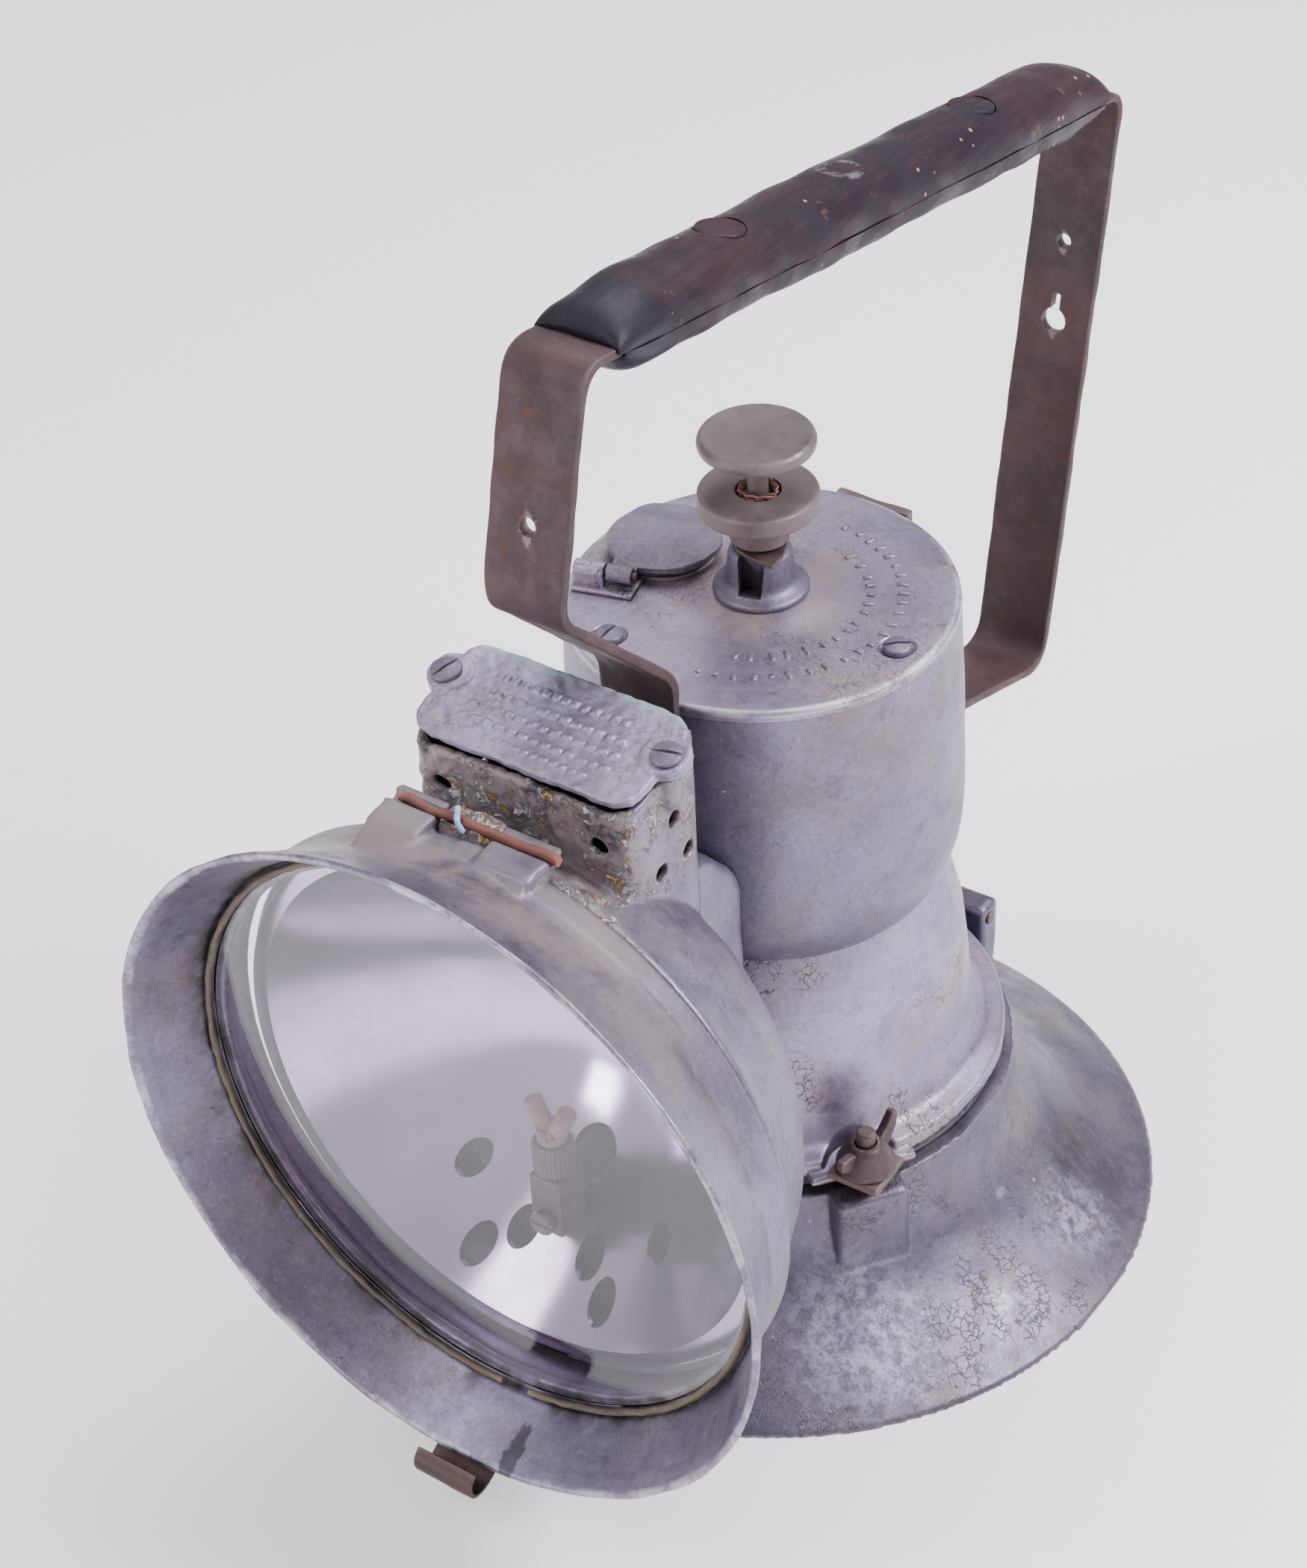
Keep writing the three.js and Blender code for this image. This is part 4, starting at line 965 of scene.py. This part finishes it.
def dish():
    def depth(r):
        return 76 + DISH_CURVE * r * r
    radii = [3 * k for k in range(29)]
    front = [(r, depth(r)) for r in radii]
    rim = depth(84)
    edge = [(89.2, rim, 0.4), (89.2, rim - 1.8), (86, rim - 2)]
    back = [(r, depth(r) - 1.6) for r in reversed(radii)]
    bowl = turned("dish_visual", front + edge + back, 192, ahead=True)
    for x, z in ((33.5, 75.5), (22.5, 57.5), (12, 62.5)):
        for side in (-1, 1):
            cut(bowl, bar("vent", 4.7, (side * x, -140, z), (side * x, -70, z)))
    cut(bowl, bar("arm_hole", 7.5, (0, -140, PIPE_Z), (0, -70, PIPE_Z)))
    piece(bowl, MIRROR, "frame", ["reflector_dish"], sharp=30, weighted=False)
    true_dish_normals(bowl, depth)


def true_dish_normals(bowl, depth):
    """Gives the polished face the paraboloid's own normals, so that holes don't dent reflections."""
    mesh = bowl.data
    normals = [Vector(corner.vector) for corner in mesh.corner_normals]
    for face in mesh.polygons:
        for corner in face.loop_indices:
            p = mesh.vertices[mesh.loops[corner].vertex_index].co
            x, z = p.x / MM, p.z / MM - LAMP_Z
            ahead = -(p.y / MM - AXIS_Y)
            r = math.hypot(x, z)
            if r < 83.9 and abs(ahead - depth(r)) < 0.06 and face.normal.y < -0.3:
                normals[corner] = Vector((-2 * DISH_CURVE * x, -1, -2 * DISH_CURVE * z)).normalized()
    mesh.normals_split_custom_set(normals)


def door():
    hood = turned("door_visual", [
        (95, SEAM, 0.6)] + flowing([(95.3, 136), (97, 147), (101, 157), (106.4, 167)])
        + [(108.6, 170.6, 1), (109.7, 172, 0.9), (109, 173, 0.7), (107.4, 172.6, 0.7)]
        + flowing([(105, 169), (99.6, 159), (96.4, 152.8)])
        + [(95.8, 149, 0.6), (90.4, 148.6, 0.4), (90.4, 146, 0.4), (93.2, 144, 0.6), (92.9, SEAM, 0.4)],
        192, ahead=True)
    above = block("above", (-60, 60), (-150, -120), (EAR_TOP, 245), 0)
    for x0, x1 in ((-33, -16.2), (2.4, 21)):
        slope = [(-131, 222.8), (-131, EAR_TOP, 1.5), (-141, EAR_TOP, 3), (-152, 222, 4), (-152, 212),
                 (-137, 212)]
        arm = prism("arm", slope, x0, x1, "X", 1.2, 3)
        room = turned("room", [(0, 120), (93.4, 120), (93.4, 160), (0, 160)], 96, ahead=True)
        join(hood, cut(arm, room), bar("knuckle", 4.5, (x0, *DOOR_AXIS), (x1, *DOOR_AXIS), 48, 0.8))
    cut(hood, above, bar("wire_groove", 1.9, (-60, *DOOR_AXIS), (60, *DOOR_AXIS)))
    cast(hood, 0.75, 1)
    shake(hood, 0.5, 20, lambda p: 1.0 if p.y < -0.146 else 0.0)
    shake(hood, 0.15, 7, lambda p: 1.0 if p.y < -0.170 else 0.0)
    piece(hood, HOOD_METAL, "door", ["door_bezel"], sharp=None)
    glass = turned("lens_visual", [(0, 149.3), (93.2, 149.3, 0.5), (93.4, 151.4, 0.5), (0, 151.6)], 192,
                   ahead=True)
    piece(glass, LENS, "door", ["lens_glass"])
    ring = []
    for i in range(181):
        a = math.radians(-82 + 354 * i / 180)
        ring.append((94 * math.cos(a), -152.7, LAMP_Z + 94 * math.sin(a)))
    wire = tube("lens_ring_visual", ring, 1.05, 14)
    shake(wire, 0.5, 1.6)
    piece(wire, WIRE, "door", ["lens_ring"], sharp=60)


def hinge_wire():
    line = []
    for i in range(33):
        x = -30 + 53 * i / 32
        y = DOOR_AXIS[0] + 0.25 * math.sin(i * 0.7)
        line.append((x, y, DOOR_AXIS[1] + 0.25 * math.sin(i * 0.5 + 1)))
    wire = tube("hinge_wire_visual", line, 1.4, 14)
    shake(wire, 0.25, 2)
    piece(wire, RUST, "frame", ["hinge_wire"], sharp=60)
    loop = []
    for i in range(18):
        a = math.radians(-100 + 13 * i)
        y, z = DOOR_AXIS[0] - 2.6 * math.sin(a), DOOR_AXIS[1] + 0.3 + 2.6 * math.cos(a)
        loop.append((-13 + 0.35 * i, y, z))
    tie = tube("hinge_tie", loop, 0.85, 10)
    shake(tie, 0.3, 1.5)
    piece(tie, BLUE_CORD, "frame", (), sharp=60)


def chimney_cover():
    plate = prism("cover_visual", rounded_rectangle(37, 0, 34, 9), 0, 3, "Z", 0.9, 3)
    for side in (-1, 1):
        lug = turned("lug", [(0, 0), (7, 0, 0.5), (7, 3.8, 1), (0, 3.8)], SMALL, centre=(side * 35.6, 20.4))
        join(plate, lug)
        cut(plate, bar("hole", 2.2, (side * 36.4, 19.7, -5), (side * 36.4, 19.7, 10)))
    rng = random.Random(8)
    for y, half, width in ((25, 21, 1.0), (19, 24, 0.8), (14, 25, 0.7), (9.4, 25, 0.7), (5, 20, 0.6)):
        for k in range(-6, 7):
            x, size = half * k / 6.5, half / 13 * rng.uniform(0.5, 0.85)
            top = 3.4 + rng.uniform(0.1, 0.5)
            join(plate, block("ridge", (x - size, x + size), (y - width, y + width), (2.4, top), 0.25))
    cast(plate, 0.4, 2)
    shake(plate, 0.6, 12)
    shake(plate, 0.35, 3)
    on_chimney(plate, COVER_Z)
    piece(plate, COVER_METAL, "frame", ["chimney_cover"], sharp=None)
    for index, side in enumerate((-1, 1)):
        x, y = side * 36.4, 19.7
        screw = turned(f"cover_screw_visual_{index + 1}", [
            (0, -8), (1.6, -8), (1.6, 4.1), (4.6, 4.1, 0.3), (4.4, 5.2, 0.7), (0, 5.8),
        ], SMALL, centre=(x, y))
        slot = block("slot", (x - 6, x + 6), (y - 0.5, y + 0.5), (4.9, 8), 0)
        cut(screw, move(slot, about((x, y, 0), 70 - 55 * index, "Z")))
        on_chimney(screw, COVER_Z)
        piece(screw, DARK_ALUMINIUM, "frame", [f"cover_screw_{index + 1}"])


def burner():
    y = -BURNER_AHEAD
    arm = block("burner_arm_visual", (-5.6, 5.6), (y - 6, y + 6), (69.6, 91), 1.1, 3)
    join(arm, bar("arm", 5.4, (0, y, PIPE_Z), (0, -78.3, PIPE_Z), 48))
    piece(arm, NUT_METAL, "frame", ["burner_arm"])
    pipe = bar("gas_pipe_visual", 4.2, (0, -78, PIPE_Z), (0, -52, PIPE_Z))
    cut(pipe, bar("bore", 2.2, (0, -79, PIPE_Z), (0, -51, PIPE_Z)))
    piece(pipe, BRASS, "frame", ["gas_pipe"])
    outline = [(2, 91.3), (5.4, 91.3), (6.4, 92.4, 0.4), (6.4, 102, 0.4), (5.4, 103, 0.3), (2, 103)]
    knurl = knurled("burner_body_visual", outline, (0, y), 6.0, 28, 0.28)
    piece(knurl, BRASS, "frame", ["burner_body"], sharp=25)
    tip = bar("burner_tip_visual", 4.6, (0, y, 103.3), (0, y, 108), 40, 0.5)
    spread, rise = 12 * math.sin(math.radians(24)), 12 * math.cos(math.radians(24))
    for side in (-1, 1):
        top = (side * (1.4 + spread), y, 105 + rise)
        join(tip, bar("prong", 2.9, (side * 1.4, y, 105), top, 32, 0.6))
    piece(tip, CERAMIC, "frame", ["burner_tip"])
    plug = bar("arm_plug_visual", 4, (0, y - 9, 75.2), (0, y - 6.3, 75.2), 40, 0.6)
    cut(plug, block("slot", (-6, 6), (y - 12, y - 8.2), (74.7, 75.7), 0))
    piece(plug, BRASS, "frame", ["arm_plug"])


def knurled(name, outline, centre, from_radius, teeth, amount):
    """A turned piece whose widest part has fine teeth round it."""
    outline = rounded(outline)
    sides = teeth * 6
    points = []
    for i in range(sides):
        angle = 2 * math.pi * i / sides
        groove = amount * (0.5 - 0.5 * math.cos(angle * teeth))
        for r, h in outline:
            radius = r - groove if r > from_radius else r
            points.append((centre[0] + radius * math.cos(angle), centre[1] + radius * math.sin(angle), h))
    return solid(name, points, ring_faces(sides, len(outline)))


def strip(name, line, width, thickness, edge=0.7, centre=0.0):
    """A flat strip along points in the Y-Z plane, with rounded edges."""
    count = len(line)
    across = [width * (k / 14 - 0.5) for k in range(1, 14)]
    section = []
    for side in (-1, 1):
        section += [(side * width / 2, side * thickness / 2, edge)]
        section += [(-side * u, side * thickness / 2) for u in across]
        section += [(-side * width / 2, side * thickness / 2, edge)]
    section = rounded(section, 3)
    points = []
    for i, here in enumerate(line):
        before, after = Vector(line[max(i - 1, 0)]), Vector(line[min(i + 1, count - 1)])
        along = (after - before).normalized()
        for u, v in section:
            points.append((centre + u, here[0] - along.y * v, here[1] + along.x * v))
    return solid(name, points, open_tube_faces(count, len(section)))


def dense(line, step):
    """The same line with extra points, at most a step apart."""
    result = [line[0]]
    for a, b in zip(line, line[1:]):
        a, b = Vector(a), Vector(b)
        parts = max(1, int((b - a).length / step))
        result += [tuple(a.lerp(b, k / parts)) for k in range(1, parts + 1)]
    return result


def latch():
    line = rounded([(-108.6, 33.6), (-136, 32, 8), (-152, 28.6, 8), (-162.6, 22.8, 8), (-170.4, 16.6, 3),
                    (-175.6, 14.4, 3), (-180.6, 16, 4), (-181.6, 21.4, 3), (-178.6, 24.2)], closed=False)
    clip = strip("latch_visual", dense(line, 1.2), 21, 1.3, 0.4, 1.0)
    shake(clip, 0.5, 9, lambda p: 1.0 if p.z < 0.03 else 0.0)
    for x0, x1 in ((-9.5, -6.4), (6.4, 11.5)):
        join(clip, block("ear", (x0, x1), (-114.6, -109.4), (33.2, 41.6), 0.5))
    cut(clip, bar("hole", 1.9, (-20, *LATCH_AXIS), (20, *LATCH_AXIS)))
    piece(clip, COPPER, "latch", ["latch_clip"], sharp=50)
    pin = bar("latch_pin_visual", 1.6, (-12, *LATCH_AXIS), (14, *LATCH_AXIS), 24, 0.4)
    piece(pin, STEEL, "frame", ["latch_pin"])


# ---------------------------------------------------------------- handle
def grip_point(along, above):
    return (GRIP_START[0] + along * math.cos(GRIP_SLOPE) - above * math.sin(GRIP_SLOPE),
            GRIP_START[1] + along * math.sin(GRIP_SLOPE) + above * math.cos(GRIP_SLOPE))


def handle_strap():
    corners = [(-61.2, 196), (-61.2, 238, 6), (-108.8, 285.4, 7), (*grip_point(-13.4, 0), 9),
               (*grip_point(STRAP_LENGTH, 0), 8), (146.6, 112.6, 12), (61.4, 139.6, 7), (61.4, 222.6)]
    strap = strip("strap_visual", dense(rounded(corners, 8, False), 2), STRAP_W, STRAP_T, 0.9)
    shake(strap, 0.35, 9)
    for side, z in RIVETS:
        cut(strap, bar("hole", 2.4, (0, side * 61 - 4, z), (0, side * 61 + 4, z), 32))
    cut(strap, bar("front_hole", 2.6, (0, -115, 309), (0, -90, 309), 32))
    cut(strap, bar("rear_hole", 2.4, (0, 160, 256), (0, 200, 256), 32))
    keyhole = bar("keyhole", 4.2, (0, 150, 230), (0, 195, 230), 32)
    join(keyhole, block("slot", (-1.5, 1.5), (150, 195), (231, 239), 0.5))
    cut(strap, keyhole)
    for along in PLUGS:
        low, high = grip_point(along, -10), grip_point(along, 10)
        cut(strap, bar("hole", 3.2, (0, *low), (0, *high), 32))
    piece(strap, STRAP, "frame", ["handle_strap"], sharp=50)
    for index, (side, z) in enumerate(RIVETS):
        start = side * 59.6
        rivet = bar(f"rivet_visual_{index + 1}", 2, (0, start, z), (0, start + side * 4, z), 24)
        head = bar("head", 4.3, (0, start + side * 3.9, z), (0, start + side * 6, z), 32, 1.6)
        piece(join(rivet, head), STEEL, "frame", [f"strap_rivet_{index + 1}"])


def grip_section(t, height, upper):
    """The outline across one half of the grip at t, from 0 in front to 1 behind."""
    front = min(1.0, t / (0.13 if upper else 0.05))
    rear = min(1.0, (1 - t) / 0.1)
    shrink = 0.5 + 0.5 * math.sin(math.pi / 2 * front) * math.sin(math.pi / 2 * rear)
    edge = min(1.0, t / 0.022, (1 - t) / 0.022)
    shrink *= 0.2 + 0.8 * math.sqrt(1 - (1 - edge) ** 2)
    wide = (STRAP_W / 2 + 1.3) * (0.93 + 0.07 * shrink)
    wobble = 0.3 * math.sin(t * 19) + 0.2 * math.sin(t * 37 + 1)
    lift, inner = STRAP_T / 2 + 0.3, STRAP_W / 2 + 0.2
    section = []
    for j in range(GRIP_ARC + 1):
        a = math.pi * j / GRIP_ARC
        x = (wide + wobble * 0.5) * math.copysign(abs(math.cos(a)) ** 0.94, math.cos(a))
        section.append((x, 0.2 + (lift + height * shrink - 0.2) * math.sin(a) ** 0.86))
    return section + [(-inner, 0.2), (-inner, lift), (inner, lift), (inner, 0.2)]


def grip_half(name, start, end, height, upper):
    """Half of the grip, lofted along the strap. Its thin lips cover the strap's edges."""
    points = []
    for i in range(GRIP_STEPS + 1):
        t = 0.5 - 0.5 * math.cos(math.pi * i / GRIP_STEPS)
        for x, rise in grip_section(t, height, upper):
            y, z = grip_point(start + (end - start) * t, rise if upper else -rise)
            points.append((x, y, z))
    half = solid(name, points, open_tube_faces(GRIP_STEPS + 1, GRIP_ARC + 5))
    for at in PLUGS:
        low, high = grip_point(at, -30), grip_point(at, 30)
        cut(half, bar("hole", 7.3 if upper else 2.8, (0, *low), (0, *high), 64))
    return half


def grip():
    upper = grip_half("grip_upper_visual", 0, 262, 10.9, True)
    shake(upper, 0.6, 14)
    piece(upper, WOOD, "frame", ["grip_upper"], sharp=50)
    lower = grip_half("grip_lower_visual", 3, 258, 8.8, False)
    shake(lower, 0.7, 12)
    piece(lower, WOOD, "frame", ["grip_lower"], sharp=50)
    for index, along in enumerate(PLUGS):
        low, high = grip_point(along, 2.2), grip_point(along, 12.5)
        plug = bar(f"plug_visual_{index + 1}", 7, (0, *low), (0, *high), 64, 0.7)
        join(plug, bar("stem", 2.4, (0, *grip_point(along, -6)), (0, *grip_point(along, 3)), 24))
        piece(plug, WOOD, "frame", [f"grip_plug_{index + 1}"])


def inner_pieces():
    tube_outline = [(3.4, 112), (4.6, 112), (4.6, TANK_TOP), (3.4, TANK_TOP)]
    piece(turned("water_tube_visual", tube_outline, SMALL), BRASS, "frame", ["water_tube"])
    felt = [(12, 97, 1), (36, 97, 2), (36, 118, 2), (30, 124, 2), (12, 124, 1)]
    piece(turned("gas_filter_visual", felt, 96), SEALING, "frame", ["gas_filter"])


# ---------------------------------------------------------------- studio
# azimuth and elevation, distance and size in metres, watts
SOFTBOXES = (
    ((112, 44), 1.5, 0.5, 27.0),
    ((-28, 46), 1.5, 0.6, 8.0),
    ((190, 66), 1.7, 1.2, 26.0),
    ((-20, 6), 1.3, 0.3, 5.0),
)


def studio():
    mesh = bpy.data.meshes.new("floor")
    size = 6.0
    corners = [(-size, -size, 0), (size, -size, 0), (size, size, 0), (-size, size, 0)]
    mesh.from_pydata(corners, [], [(0, 1, 2, 3)])
    floor = link("floor", mesh)
    f = Finish("floor", roughness=0.9)
    f.set("Base Color", (0.93, 0.93, 0.95, 1))
    f.set("Emission Color", (1, 1, 1, 1))
    f.set("Emission Strength", 0.45)
    floor.data.materials.append(f.material)
    world = bpy.data.worlds.new("studio")
    bpy.context.scene.world = world
    world.use_nodes = True
    world.node_tree.nodes["Background"].inputs["Color"].default_value = (0.97, 0.955, 1.0, 1)
    world.node_tree.nodes["Background"].inputs["Strength"].default_value = 0.58
    for (azimuth, elevation), away, side, power in SOFTBOXES:
        data = bpy.data.lights.new("softbox", "AREA")
        data.shape = "SQUARE"
        data.size = side
        data.energy = power
        data.color = (0.955, 0.94, 1.0)
        lamp = link("softbox", data)
        a, e = math.radians(azimuth), math.radians(elevation)
        direction = Vector((math.sin(a) * math.cos(e), -math.cos(a) * math.cos(e), math.sin(e)))
        lamp.location = Vector((0, 0, 0.15)) + direction * away
        lamp.rotation_euler = direction.to_track_quat("Z", "Y").to_euler()


def camera():
    azimuth, elevation, roll = math.radians(36.822), math.radians(38.04), math.radians(3.357)
    target = Vector((-40.2, -3.66 + AXIS_Y, 141.62)) * MM
    back = Vector((math.sin(azimuth) * math.cos(elevation), -math.cos(azimuth) * math.cos(elevation),
                   math.sin(elevation)))
    right = Vector((math.cos(azimuth), math.sin(azimuth), 0))
    up = back.cross(right)
    turned_right = right * math.cos(roll) - up * math.sin(roll)
    turned_up = right * math.sin(roll) + up * math.cos(roll)
    data = bpy.data.cameras.new("camera")
    data.sensor_fit = "HORIZONTAL"
    data.sensor_width = 36
    data.lens = 94.46
    data.clip_end = 20
    view = link("camera", data)
    matrix = Matrix((turned_right, turned_up, back)).transposed().to_4x4()
    matrix.translation = target + back * 1.05927
    view.matrix_world = matrix
    bpy.context.scene.camera = view


base_shell()
generator()
clamps()
tank()
lid()
valve()
filler()
housing()
dish()
door()
hinge_wire()
chimney_cover()
burner()
latch()
handle_strap()
grip()
inner_pieces()
studio()
camera()

bpy.context.view_layer.update()
